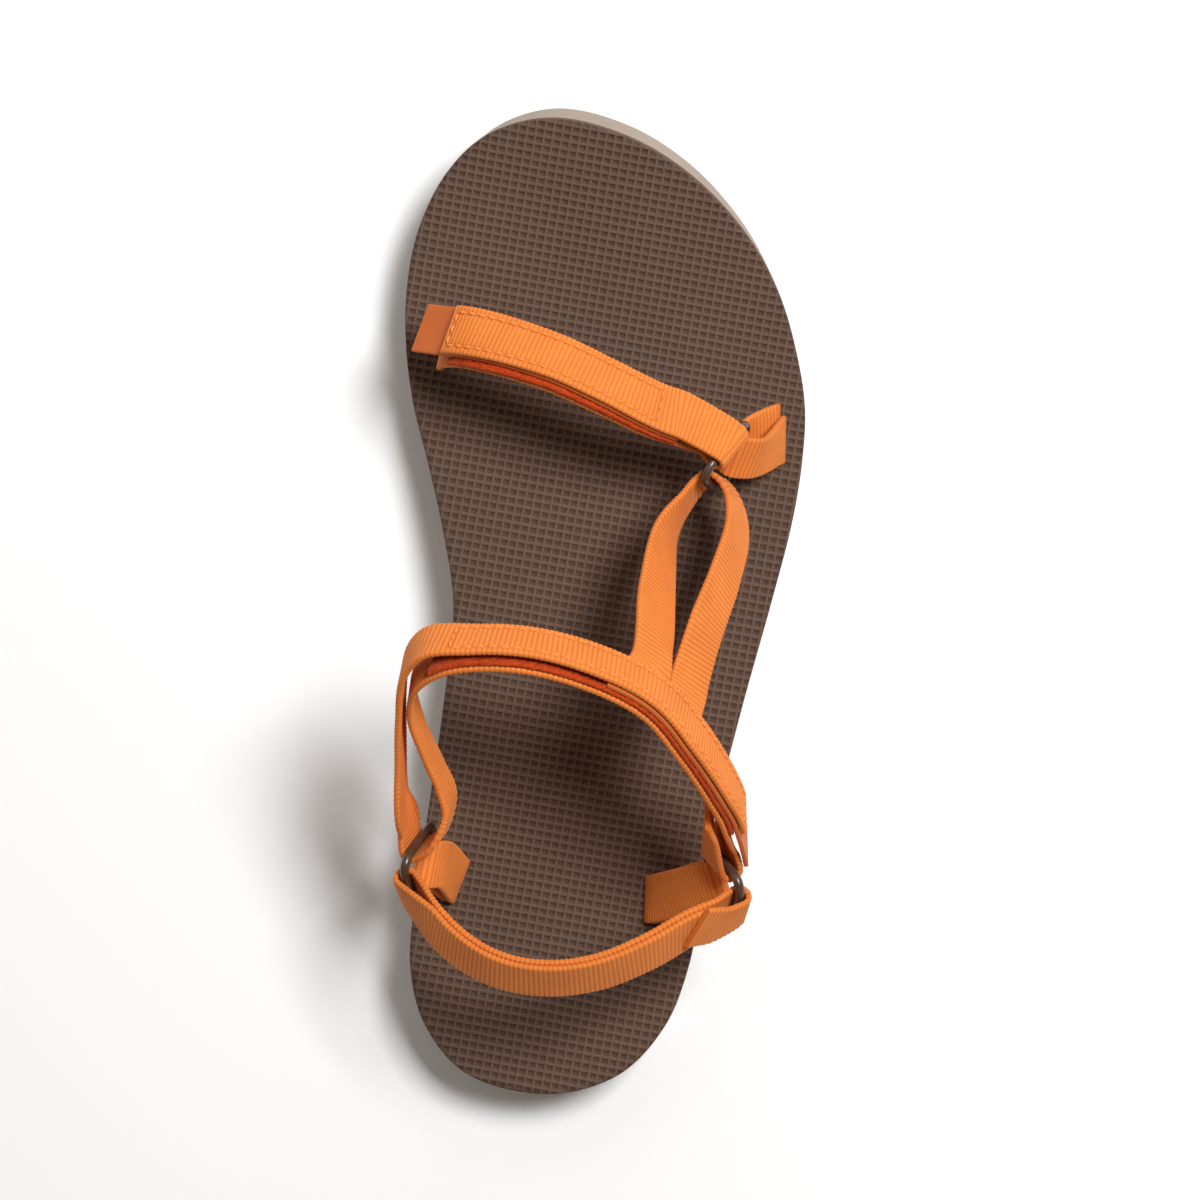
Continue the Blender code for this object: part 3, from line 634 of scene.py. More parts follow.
class Shader:
    """Node tree of one procedural material."""

    def __init__(self, name: str) -> None:
        """Start a material whose surface is one Principled shader.

        Args:
            name: Name of the material.
        """
        self.material = bpy.data.materials.new(name)
        self.material.use_nodes = True
        self.tree = self.material.node_tree
        self.surface = self.tree.nodes["Principled BSDF"]

    def set(self, **values: object) -> None:
        """Set constants on the surface, by socket names with underscores for spaces."""
        for name, value in values.items():
            self.surface.inputs[name.replace("_", " ")].default_value = value

    def add(self, kind: str, **values: object) -> bpy.types.Node:
        """Node with constants on its sockets.

        Args:
            kind: Kind of node.
            values: Constants, by socket names with underscores for spaces.

        Returns:
            The node.
        """
        node = self.tree.nodes.new(kind)
        for name, value in values.items():
            node.inputs[name.replace("_", " ")].default_value = value
        return node

    def link(self, source: Socket, target: Socket) -> None:
        """Join two sockets."""
        self.tree.links.new(source, target)

    def ramp(self, source: Socket, *stops: tuple[float, Triple]) -> Socket:
        """Colours read along a value.

        Args:
            source: Socket with the value.
            stops: Two places from 0 to 1, each with its colour.

        Returns:
            Socket with the colour.
        """
        node = self.tree.nodes.new("ShaderNodeValToRGB")
        for element, (place, colour) in zip(node.color_ramp.elements, stops):
            element.position = place
            element.color = (*colour, 1.0)
        self.link(source, node.inputs["Fac"])
        return node.outputs["Color"]

    def attribute(self, name: str) -> Socket:
        """Value painted on the mesh.

        Args:
            name: Name that it is painted under.

        Returns:
            Socket with the value.
        """
        node = self.tree.nodes.new("ShaderNodeAttribute")
        node.attribute_name = name
        return node.outputs["Fac"]

    def noise(self, scale: float, detail: float) -> Socket:
        """Soft noise in the object's own metres.

        Args:
            scale: Cells in a metre.
            detail: Octaves.

        Returns:
            Socket with the noise value.
        """
        place = self.tree.nodes.new("ShaderNodeTexCoord")
        texture = self.add("ShaderNodeTexNoise", Scale=scale, Detail=detail)
        self.link(place.outputs["Object"], texture.inputs["Vector"])
        return texture.outputs["Fac"]

    def threads(self, scale: float, distortion: float) -> Socket:
        """Warp threads as bands in the cloth layout.

        Args:
            scale: Scale of the bands.
            distortion: How far they waver.

        Returns:
            Socket with their height.
        """
        place = self.tree.nodes.new("ShaderNodeTexCoord")
        texture = self.add("ShaderNodeTexWave", Scale=scale, Distortion=distortion, Detail=1.0)
        texture.bands_direction = "Y"
        self.link(place.outputs["UV"], texture.inputs["Vector"])
        return texture.outputs["Fac"]

    def dulled(self, colour: Socket, source: Socket, dull: Dulling) -> Socket:
        """Colour with a duller tint where a pattern is low.

        Args:
            colour: Socket with the colour.
            source: Socket with the pattern's value.
            dull: The tint and where it lies.

        Returns:
            Socket with the dulled colour.
        """
        node = self.tree.nodes.new("ShaderNodeMix")
        node.data_type = "RGBA"
        node.blend_type = "MULTIPLY"
        node.inputs["Factor"].default_value = 1.0
        self.link(colour, node.inputs[MIX_FIRST])
        self.link(self.ramp(source, (dull.full, dull.tint), (dull.gone, WHITE)), node.inputs[MIX_SECOND])
        return node.outputs[MIX_RESULT]

    def bumps(self, *layers: tuple[Socket, float, float]) -> None:
        """Small relief on the surface.

        Args:
            layers: Height sockets, each with its strength and its depth in metres.
        """
        normal = None
        for height, strength, depth in layers:
            node = self.add("ShaderNodeBump", Strength=strength, Distance=depth)
            self.link(height, node.inputs["Height"])
            if normal is not None:
                self.link(normal, node.inputs["Normal"])
            normal = node.outputs["Normal"]
        self.link(normal, self.surface.inputs["Normal"])

    def colour(self, source: Socket) -> None:
        """Use a socket as the surface colour."""
        self.link(source, self.surface.inputs["Base Color"])

    def roughness(self, source: Socket, low: float, high: float) -> None:
        """Vary the roughness between two values.

        Args:
            source: Socket with a value from 0 to 1.
            low: Roughness at 0.
            high: Roughness at 1.
        """
        node = self.add("ShaderNodeMapRange", To_Min=low, To_Max=high)
        self.link(source, node.inputs["Value"])
        self.link(node.outputs["Result"], self.surface.inputs["Roughness"])


class Finish(Protocol):
    """Look of a piece, under a name."""

    name: str

    def material(self) -> bpy.types.Material:
        """Material of the finish."""


@dataclass(frozen=True)
class ClothFinish:
    """Woven orange cloth: weft ribs, warp threads, a soft sheen and slight colour change along it.

    Attributes:
        crest: Colour on the ribs.
        valley: Colour between them, used as painted shade in the hollows between ribs, among fleece loops and
            at stitch ends.
        rough: Least and most roughness.
        warp_scale: Scale of the warp threads.
        fuzz: Strength of the fine relief.
        warp_share: Strength of the warp's relief, as a share of the fuzz.
        worn_noise: Cells in a metre and octaves of the colour change.
        fuzz_noise: The same for the fine relief.
    """

    name: str
    crest: Triple
    valley: Triple
    rough: Pair = (0.72, 0.9)
    sheen: float = 0.12
    warp_scale: float = 0.45
    fuzz: float = 0.35
    sheen_tint: Triple = (1.0, 0.62, 0.35)
    sheen_rough: float = 0.45
    specular: float = 0.25
    worn: Dulling = Dulling(0.35, 0.65, (0.90, 0.88, 0.86))
    worn_noise: Pair = (90.0, 3.0)
    warp: Dulling = Dulling(0.0, 0.6, (0.96, 0.95, 0.94))
    warp_waver: float = 0.6
    warp_share: float = 0.5
    warp_depth: float = 0.00006
    fuzz_noise: Pair = (2600.0, 2.0)
    fuzz_depth: float = 0.00008

    def material(self) -> bpy.types.Material:
        """Material of the cloth.

        Returns:
            The material.
        """
        shader = Shader(self.name)
        shader.set(Sheen_Weight=self.sheen, Sheen_Roughness=self.sheen_rough,
                   Sheen_Tint=(*self.sheen_tint, 1.0), Specular_IOR_Level=self.specular)
        worn = shader.noise(*self.worn_noise)
        threads = shader.threads(self.warp_scale, self.warp_waver)
        # Painted shade: the painted rib value turns the colour from valley to crest, darker where the cloth
        # lies low.
        body = shader.ramp(shader.attribute("rib"), (0.0, self.valley), (1.0, self.crest))
        shader.colour(shader.dulled(shader.dulled(body, worn, self.worn), threads, self.warp))
        shader.roughness(worn, *self.rough)
        warp = (threads, self.warp_share * self.fuzz, self.warp_depth)
        shader.bumps(warp, (shader.noise(*self.fuzz_noise), self.fuzz, self.fuzz_depth))
        return shader.material


@dataclass(frozen=True)
class FoamFinish:
    """Moulded foam with fine pores and a little rubbed colour.

    Attributes:
        rubbed_noise: Cells in a metre and octaves of the rubbed colour.
        pore_noise: The same for the pores.
    """

    name: str
    body: Triple
    shade: Triple
    rubbed: Pair = (0.3, 0.7)
    rubbed_noise: Pair = (45.0, 5.0)
    pores: Dulling = Dulling(0.30, 0.50, (0.92, 0.91, 0.90))
    pore_noise: Pair = (900.0, 3.0)
    pore_strength: float = 0.5
    pore_depth: float = 0.00012
    rough: Pair = (0.62, 0.82)
    specular: float = 0.3

    def material(self) -> bpy.types.Material:
        """Material of the foam.

        Returns:
            The material.
        """
        shader = Shader(self.name)
        shader.set(Specular_IOR_Level=self.specular)
        rubbed = shader.noise(*self.rubbed_noise)
        pores = shader.noise(*self.pore_noise)
        body = shader.ramp(rubbed, (self.rubbed[0], self.shade), (self.rubbed[1], self.body))
        shader.colour(shader.dulled(body, pores, self.pores))
        shader.roughness(rubbed, *self.rough)
        shader.bumps((pores, self.pore_strength, self.pore_depth))
        return shader.material


@dataclass(frozen=True)
class FootbedFinish:
    """Dark brown foam sheet: lighter lands between darker pressed pits.

    Attributes:
        rubbed_noise: Cells in a metre and octaves of the rubbed colour.
        grain_noise: The same for the fine grain.
    """

    name: str = "footbed_sheet"
    land: Triple = (0.134, 0.079, 0.055)
    # Pit colour: painted shade in the pressed pits, with a little of it on their rims.
    pit: Triple = (0.078, 0.042, 0.028)
    rough: Pair = (0.62, 0.85)
    specular: float = 0.3
    rubbed: Dulling = Dulling(0.3, 0.7, (0.86, 0.85, 0.84))
    rubbed_noise: Pair = (30.0, 5.0)
    grain: Dulling = Dulling(0.3, 0.6, (0.82, 0.80, 0.79))
    grain_noise: Pair = (1800.0, 3.0)
    grain_strength: float = 0.45
    grain_depth: float = 0.00010

    def material(self) -> bpy.types.Material:
        """Material of the footbed.

        Returns:
            The material.
        """
        shader = Shader(self.name)
        shader.set(Specular_IOR_Level=self.specular)
        rubbed = shader.noise(*self.rubbed_noise)
        grain = shader.noise(*self.grain_noise)
        # Painted shade: the painted pit value turns the land colour to the darker pit colour.
        body = shader.ramp(shader.attribute("pit"), (0.0, self.land), (1.0, self.pit))
        shader.colour(shader.dulled(shader.dulled(body, rubbed, self.rubbed), grain, self.grain))
        shader.roughness(rubbed, *self.rough)
        shader.bumps((grain, self.grain_strength, self.grain_depth))
        return shader.material


@dataclass(frozen=True)
class RingFinish:
    """Glossy dark brown moulded ring with faint rubbing.

    Attributes:
        rubbed_noise: Cells in a metre and octaves of the rubbed colour.
        grain_noise: The same for the fine grain.
    """

    name: str = "ring_gloss"
    body: Triple = (0.064, 0.030, 0.017)
    rubbed: Triple = (0.092, 0.050, 0.031)
    rubbed_at: Pair = (0.4, 0.75)
    rubbed_noise: Pair = (240.0, 4.0)
    rough: Pair = (0.18, 0.38)
    coat: float = 0.12
    coat_rough: float = 0.2
    grain_noise: Pair = (1500.0, 2.0)
    grain_strength: float = 0.12
    grain_depth: float = 0.00005

    def material(self) -> bpy.types.Material:
        """Material of the rings.

        Returns:
            The material.
        """
        shader = Shader(self.name)
        shader.set(Coat_Weight=self.coat, Coat_Roughness=self.coat_rough)
        rub = shader.noise(*self.rubbed_noise)
        shader.colour(shader.ramp(rub, (self.rubbed_at[0], self.body), (self.rubbed_at[1], self.rubbed)))
        shader.roughness(rub, *self.rough)
        shader.bumps((shader.noise(*self.grain_noise), self.grain_strength, self.grain_depth))
        return shader.material


@dataclass(frozen=True)
class FloorFinish:
    """Pale matt studio floor."""

    name: str = "studio_floor"
    light: Triple = (0.90, 0.91, 0.92)
    dark: Triple = (0.88, 0.89, 0.90)
    change: Pair = (0.3, 0.7)
    change_noise: Pair = (3.0, 2.0)
    rough: float = 0.9
    specular: float = 0.1

    def material(self) -> bpy.types.Material:
        """Material of the floor.

        Returns:
            The material.
        """
        shader = Shader(self.name)
        shader.set(Roughness=self.rough, Specular_IOR_Level=self.specular)
        change = shader.noise(*self.change_noise)
        shader.colour(shader.ramp(change, (self.change[0], self.dark), (self.change[1], self.light)))
        return shader.material


# Crest colours sit on ribs, loops and stitch middles; the darker valley colours are painted shade in the
# hollows, among fleece loops and at stitch ends.
WEBBING = ClothFinish("orange_webbing", (0.81, 0.247, 0.048), (0.61, 0.150, 0.021))
TAPE = ClothFinish("orange_tape", (0.66, 0.165, 0.036), (0.54, 0.115, 0.020), (0.6, 0.75), 0.1, 0.9, 0.2)
FLEECE = ClothFinish("loop_fleece", (0.58, 0.066, 0.005), (0.36, 0.028, 0.001), (0.85, 0.97), 0.2, 0.8, 0.7)
THREAD = ClothFinish("sewing_thread", (0.88, 0.28, 0.058), (0.60, 0.125, 0.016), (0.5, 0.7), 0.2, 2.0, 0.3)
SOLE_FOAM = FoamFinish("sole_side_foam", (0.385, 0.31, 0.25), (0.35, 0.278, 0.222))


@dataclass
class Dressing:
    """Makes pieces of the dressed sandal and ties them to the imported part."""

    finishes: dict[str, bpy.types.Material] = field(default_factory=dict)
    pieces: list[bpy.types.Object] = field(default_factory=list)

    def finish(self, finish: Finish) -> bpy.types.Material:
        """Material of a finish, made once.

        Args:
            finish: The finish.

        Returns:
            Its material.
        """
        if finish.name not in self.finishes:
            self.finishes[finish.name] = finish.material()
        return self.finishes[finish.name]

    def piece(self, name: str, points: Array, faces: Sequence[Sequence[int]], finish: Finish,
              stands_for: Optional[str] = None, sharp: float = SHARP,
              paint: Optional[dict[str, Array]] = None, layout: Optional[Array] = None) -> bpy.types.Object:
        """Piece of the sandal from points in millimetres.

        Args:
            name: Name of the piece.
            points: Its points, before the part's box is centred.
            faces: Its faces.
            finish: Its finish.
            stands_for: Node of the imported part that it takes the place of.
            sharp: Angle in degrees over which an edge stays sharp.
            paint: Values for the points, by name.
            layout: Cloth layout of the points: length along in centimetres, and share across.

        Returns:
            The piece.
        """
        mesh = bpy.data.meshes.new(name)
        mesh.from_pydata(((points + CENTRING) * MM).tolist(), [], faces)
        for key, values in (paint or {}).items():
            mesh.attributes.new(key, "FLOAT", "POINT").data.foreach_set("value", values.astype(np.float32))
        if layout is not None:
            corners = np.zeros(len(mesh.loops), np.int32)
            mesh.loops.foreach_get("vertex_index", corners)
            cloth = mesh.uv_layers.new(name="cloth")
            cloth.data.foreach_set("uv", layout[corners].astype(np.float32).ravel())
        mesh.validate()
        return self.adopt(name, mesh, finish, stands_for, sharp)

    def adopt(self, name: str, mesh: bpy.types.Mesh, finish: Finish,
              stands_for: Optional[str] = None, sharp: float = SHARP) -> bpy.types.Object:
        """Piece from a finished mesh.

        Args:
            name: Name of the piece.
            mesh: Its mesh, in metres.
            finish: Its finish.
            stands_for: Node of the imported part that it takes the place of.
            sharp: Angle in degrees over which an edge stays sharp.

        Returns:
            The piece.
        """
        mesh.materials.clear()
        mesh.materials.append(self.finish(finish))
        mesh.shade_smooth()
        mesh.set_sharp_from_angle(angle=math.radians(sharp))
        made = in_scene(name, mesh)
        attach(made, "root")
        if stands_for:
            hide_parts(stands_for)
        self.pieces.append(made)
        LOG.info("%s: %d faces", name, len(mesh.polygons))
        return made


class SewnBox(NamedTuple):
    """Box of sewing near the free end of a band.

    Attributes:
        end: Length from the free end to the far row.
        start: Length from the free end to the near row.
        inset: Offset of the side rows from the middle.
        furrow: Half width of the dip along the side rows.
        end_furrow: Half width of the dip along the rows across, and how far the side dips run past them.
        past: How far the dips across run past the side rows.
    """

    end: float
    start: float = 1.3
    inset: float = 4.5
    furrow: float = 0.45
    end_furrow: float = 0.5
    past: float = 0.4

    def press(self, from_end: Array, reach: Array) -> Array:
        """How far the sewing pulls the cloth down, from 0 to 1.

        Args:
            from_end: Lengths from the free end of the band.
            reach: Offsets across it.

        Returns:
            One value for each pair.
        """
        within = (from_end > self.start - self.end_furrow) & (from_end < self.end + self.end_furrow)
        sides = np.exp(-((np.abs(reach) - self.inset) / self.furrow) ** 2) * within
        ends = [np.exp(-((from_end - at) / self.end_furrow) ** 2) for at in (self.start, self.end)]
        return np.maximum(sides, np.maximum(*ends) * (np.abs(reach) < self.inset + self.past))


def ring_faces(count: int, ring: int, closed: bool = False) -> Array:
    """Faces between rings of points, each ring joined to the next.

    Args:
        count: Rings.
        ring: Points on each ring.
        closed: Whether the last ring is joined to the first.

    Returns:
        Rows of four point indices.
    """
    number = np.arange(count if closed else count - 1)[:, None]
    near, far = number * ring, (number + 1) % count * ring
    step = np.arange(ring)[None]
    after = (step + 1) % ring
    return np.stack([near + after, near + step, far + step, far + after], -1).reshape(-1, 4)


def rod_faces(count: int, ring: int) -> list[list[int]]:
    """Faces round a rod of rings, and over both its ends.

    Args:
        count: Rings.
        ring: Points on each ring.

    Returns:
        The faces.
    """
    ends = [list(range(ring)), list(range((count - 1) * ring, count * ring))[::-1]]
    return ring_faces(count, ring).tolist() + ends


@dataclass
class Band:
    """One length of webbing or tape, woven with ribs across it and a rounded selvedge at both edges.

    Attributes:
        rib_steps: Sections to each rib.
        rib_fade: Share of the half width over which the ribs fade at the edges.
        rib_left: Share of a rib's height that is left there.
        rib_swell: Share by which a rib stands out at the edges.
        nap: Half height of a fleece nap, whose lower loops are also painted darker as painted shade.
        cells: Steps across each face.
        sewn: Box of sewing at the free end.
        sewn_depth: How far the sewing pulls the cloth down.
        sewn_flat: Share of the ribs that it flattens, which also paints the furrow with painted shade.
        layout_scale: Millimetres along in a unit of the cloth layout.
        layout_breadth: Half width of the cloth layout.
    """

    rows: list[Row]
    thickness: float = WEB_THICKNESS
    rib_pitch: float = 1.2
    rib_depth: float = 0.17
    rib_steps: int = 4
    rib_fade: float = 0.04
    rib_left: float = 0.35
    rib_swell: float = 0.012
    selvedge: float = 0.7
    nap: float = 0.0
    cells: int = 16
    sewn: Optional[SewnBox] = None
    sewn_depth: float = 0.22
    sewn_flat: float = 0.8
    layout_scale: float = 10.0
    layout_breadth: float = 5.0

    def line(self) -> Line:
        """Sections of the band, some to each rib."""
        return Line.through(self.rows, CURVE_STEP).even(self.rib_pitch / self.rib_steps)

    def profile(self) -> tuple[Array, Array]:
        """Cross-section round the band.

        Returns:
            Shares across from -1 to 1, and heights from -1 to 1, once round.
        """
        flat = np.linspace(1.0, -1.0, self.cells + 1)
        bend = np.cos(np.radians(SELVEDGE_TURNS))
        rise = np.sin(np.radians(SELVEDGE_TURNS))
        rim = self.selvedge / (WEB_WIDTH / 2)
        edges = 1.0 - rim + rim * bend, -1.0 + rim - rim * bend[::-1]
        top = np.concatenate([edges[0], flat[1:-1] * (1.0 - rim), edges[1]])
        high = np.concatenate([rise, np.ones(self.cells - 1), rise[::-1]])
        return np.concatenate([top, top[-2:0:-1]]), np.concatenate([high, -high[-2:0:-1]])

    def build(self, name: str, finish: ClothFinish, slot: Slot, dressing: Dressing,
              stands_for: str) -> bpy.types.Object:
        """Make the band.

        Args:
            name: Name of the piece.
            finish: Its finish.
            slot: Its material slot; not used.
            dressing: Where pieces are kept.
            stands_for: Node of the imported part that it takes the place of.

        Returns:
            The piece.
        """
        line = self.line()
        across, high = self.profile()
        count, ring = len(line.point), len(across)
        phase = np.arange(count) % self.rib_steps / self.rib_steps
        fade = np.minimum(1.0, (1.0 - np.abs(across)) / self.rib_fade + self.rib_left)
        # The rib value shapes the ribs and is painted on the mesh: low values give painted shade between ribs
        # and along the faded edges.
        rib = np.sin(np.pi * phase)[:, None] * fade[None]
        reach = across[None] * (line.width[:, None] / 2) * (1.0 + self.rib_swell * rib)
        press = np.zeros_like(reach)
        if self.sewn:
            press = self.sewn.press(line.distance[-1] - line.distance[:, None], reach)
            # Painted shade: the sewn furrow lowers the rib value, so it is both flatter and darker.
            rib = rib * (1.0 - self.sewn_flat * press)
        if self.nap:
            # Random nap height; the low loops also get painted shade.
            rib = np.random.default_rng(len(name)).uniform(0.0, 1.0, reach.shape)
            reach = reach + self.nap * (rib - 0.5) * np.sign(across) * (np.abs(high) < 1.0)
        raised = self.rib_depth * (rib - 0.5) + self.nap * (2.0 * rib - 1.0) - self.sewn_depth * press
        lift = high[None] * (self.thickness / 2 + raised)
        offset = line.edge[:, None] * reach[..., None] + line.face[:, None] * lift[..., None]
        points = line.point[:, None] + offset
        along = np.repeat(line.distance[:, None], ring, 1) / self.layout_scale
        beside = np.repeat(across[None], count, 0) * self.layout_breadth
        return dressing.piece(name, points.reshape(-1, 3), rod_faces(count, ring), finish, stands_for,
                              paint={"rib": rib.ravel()}, layout=np.stack([along, beside], -1).reshape(-1, 2))


@dataclass
class Stitching:
    """Rows of sewing on the outer face of a band.

    Attributes:
        line: Sections of the band.
        lift: Height of its face over its middle.
        sunk: How far the ends of a stitch sink, as a share of its radius.
        blunt: Least area of a stitch at its ends, as a share of its middle, which also sets how much painted
            shade the ends get.
        sides: Points round a stitch.
        steps: Points along it.
    """

    line: Line
    lift: float
    pitch: float = 2.9
    length: float = 2.1
    radius: float = 0.33
    sunk: float = 0.75
    blunt: float = 0.12
    sides: int = 8
    steps: int = 6

    def row(self, start: Pair, end: Pair) -> list[Array]:
        """Middles of the stitches on one straight row.

        Args:
            start: Length along the band and offset across it where the row begins.
            end: The same where it ends.

        Returns:
            One line of points for each stitch.
        """
        first, last = vector(start), vector(end)
        total = float(np.linalg.norm(last - first))
        count = max(1, round(total / self.pitch))
        share = np.linspace(-0.5, 0.5, self.steps) * self.length
        rise = (1.0 - np.cos(np.linspace(0.0, 2 * np.pi, self.steps))) / 2
        lift = self.lift + self.radius * (rise - self.sunk)
        made = []
        for index in range(count):
            at = first + (last - first) * (index + 0.5) / count + unit(last - first) * share[:, None]
            made.append(self.line.on_face(at[:, 0], at[:, 1], lift))
        return made

    def box(self, box: SewnBox) -> list[Array]:
        """Stitches round a box on the band.

        Args:
            box: The box.

        Returns:
            One line of points for each stitch.
        """
        places = (box.start, -1), (box.start, 1), (box.end, 1), (box.end, -1)
        corners = tuple((at, box.inset * side) for at, side in places)
        made = []
        for one, two in zip(corners, corners[1:] + corners[:1]):
            made += self.row(one, two)
        return made

    def build(self, name: str, stitches: list[Array], dressing: Dressing) -> bpy.types.Object:
        """Make the stitches as one piece.

        Args:
            name: Name of the piece.
            stitches: Middles of each stitch.
            dressing: Where pieces are kept.

        Returns:
            The piece.
        """
        turn = np.linspace(0.0, 2 * np.pi, self.sides, endpoint=False)[None, :, None]
        taper = np.sqrt(np.maximum(self.blunt, 1.0 - np.linspace(-1.0, 1.0, self.steps) ** 4))
        rod = rod_faces(self.steps, self.sides)
        points, faces = [], []
        for number, stitch in enumerate(stitches):
            along = unit(np.gradient(stitch, axis=0))
            beside = unit(np.cross(along, vector(UPWARD) + NUDGE))
            over = np.cross(beside, along)
            swing = beside[:, None] * np.cos(turn) + over[:, None] * np.sin(turn)
            points.append((stitch[:, None] + swing * (self.radius * taper)[:, None, None]).reshape(-1, 3))
            base = number * self.steps * self.sides
            faces += [[base + index for index in face] for face in rod]
        # Painted shade: the thin sunk ends of each stitch get low rib values, and so the darker thread
        # colour.
        rib = np.tile(np.repeat(taper, self.sides), len(stitches))
        return dressing.piece(name, np.concatenate(points), faces, THREAD, paint={"rib": rib})


@dataclass(frozen=True)
class RingPlace:
    """Three-sided ring of round wire.

    Attributes:
        node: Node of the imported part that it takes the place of.
        forward_x: Plan direction of its plane, with forward_y.
        lean: Lean of its top, in degrees.
        turn: Turn of its first side, in degrees.
        wire: Thickness of the wire.
        corner_steps: Points on each corner.
        wire_sides: Points round the wire.
    """

    node: str
    x: float
    y: float
    z: float
    forward_x: float
    forward_y: float
    lean: float
    turn: float
    wire: float = 2.3
    corner_steps: int = 9
    wire_sides: int = 20

    @property
    def middle(self) -> Array:
        """Middle of the ring."""
        return vector((self.x, self.y, self.z))

    def frame(self) -> tuple[Array, Array, Array]:
        """Directions of the ring's plane.

        Returns:
            Its plan direction, its upward direction and its face.
        """
        forward = unit((self.forward_x, self.forward_y, 0.0))
        beside = np.cross(forward, UPWARD)
        lean = math.radians(self.lean)
        upward = vector(UPWARD) * math.cos(lean) + beside * math.sin(lean)
        return forward, upward, np.cross(forward, upward)

    def bar(self, side: RingBar) -> tuple[Array, Array]:
        """One bar of the ring.

        Args:
            side: Which bar.

        Returns:
            Its middle and its direction.
        """
        forward, upward, face = self.frame()
        angle = math.radians(self.turn + side.value)
        outward = forward * math.cos(angle) + upward * math.sin(angle)
        return self.middle + outward * RING_SIDE / (2 * math.sqrt(3.0)), np.cross(outward, face)

    def fold(self, side: RingBar, pull: Sequence[float], first_layer: Sequence[float], edge: Sequence[float],
             spread: float = 0.0, approach: float = 5.0) -> list[Row]:
        """Rows of webbing folded round a bar of the ring.

        Args:
            side: Which bar.
            pull: Which way the webbing leaves the bar.
            first_layer: Side that the first layer is on.
            edge: Direction of the webbing's upper or front edge.
            spread: How far each layer turns outwards, in degrees.
            approach: Length of each layer before the bar.

        Returns:
            The rows, down one layer, round the bar and back up the other.
        """
        middle, bar = self.bar(side)
        bar = bar if bar @ vector(edge) > 0.0 else -bar
        away = unit(vector(pull) - bar * (bar @ vector(pull)))
        near = np.cross(bar, away)
        near = near if near @ vector(first_layer) > 0.0 else -near
        start = math.radians(spread)
        places = []
        for step in range(FOLD_STEPS + 1):
            angle = start + (math.pi - 2 * start) * step / FOLD_STEPS
            places.append(middle + (near * math.cos(angle) - away * math.sin(angle)) * FOLD_RADIUS)
        ahead = away * math.cos(start) * approach
        aside = near * math.sin(start) * approach
        places = [places[0] + ahead + aside, *places, places[-1] + ahead - aside]
        return [Row(place, bar, WEB_AT_RING) for place in places]

    def build(self, dressing: Dressing) -> bpy.types.Object:
        """Make the ring as a smooth round wire.

        Args:
            dressing: Where pieces are kept.

        Returns:
            The piece.
        """
        forward, upward, face = self.frame()
        reach = RING_SIDE / math.sqrt(3.0) - 2 * RING_CORNER
        middles, outs = [], []
        for side in RingBar:
            turn = math.radians(self.turn + side.value + CORNER_TURN / 2)
            for step in range(self.corner_steps):
                swing = turn + math.radians(CORNER_TURN) * (step / (self.corner_steps - 1) - 0.5)
                out = forward * math.cos(swing) + upward * math.sin(swing)
                corner = forward * math.cos(turn) + upward * math.sin(turn)
                middles.append(self.middle + corner * reach + out * RING_CORNER)
                outs.append(out)
        wire_turn = np.linspace(0.0, 2 * np.pi, self.wire_sides, endpoint=False)[None, :, None]
        swing = np.array(outs)[:, None] * np.cos(wire_turn) + face[None, None] * np.sin(wire_turn)
        points = np.array(middles)[:, None] + swing * self.wire / 2
        faces = ring_faces(len(middles), self.wire_sides, closed=True)[:, (1, 2, 3, 0)].tolist()
        return dressing.piece(self.node + "_wire", points.reshape(-1, 3), faces, RingFinish(),
                              self.node)


TOE_RING = RingPlace("toe_ring", 30.2, 35.0, 40.5, 0.50, 0.87, -15.0, 60.0)
HEEL_RING_MEDIAL = RingPlace("heel_ring_medial", -45.2, -64.3, 52.0, 0.20, 0.98, -14.0, 30.0)
HEEL_RING_LATERAL = RingPlace("heel_ring_lateral", 30.2, -69.0, 52.0, -0.29, 0.96, 20.0, 30.0)


def table_rows(table: Sequence[Run]) -> list[Row]:
    """Rows of a strap table."""
    return [Row(vector(row[:3]), unit(row[3:]), WEB_WIDTH) for row in table]


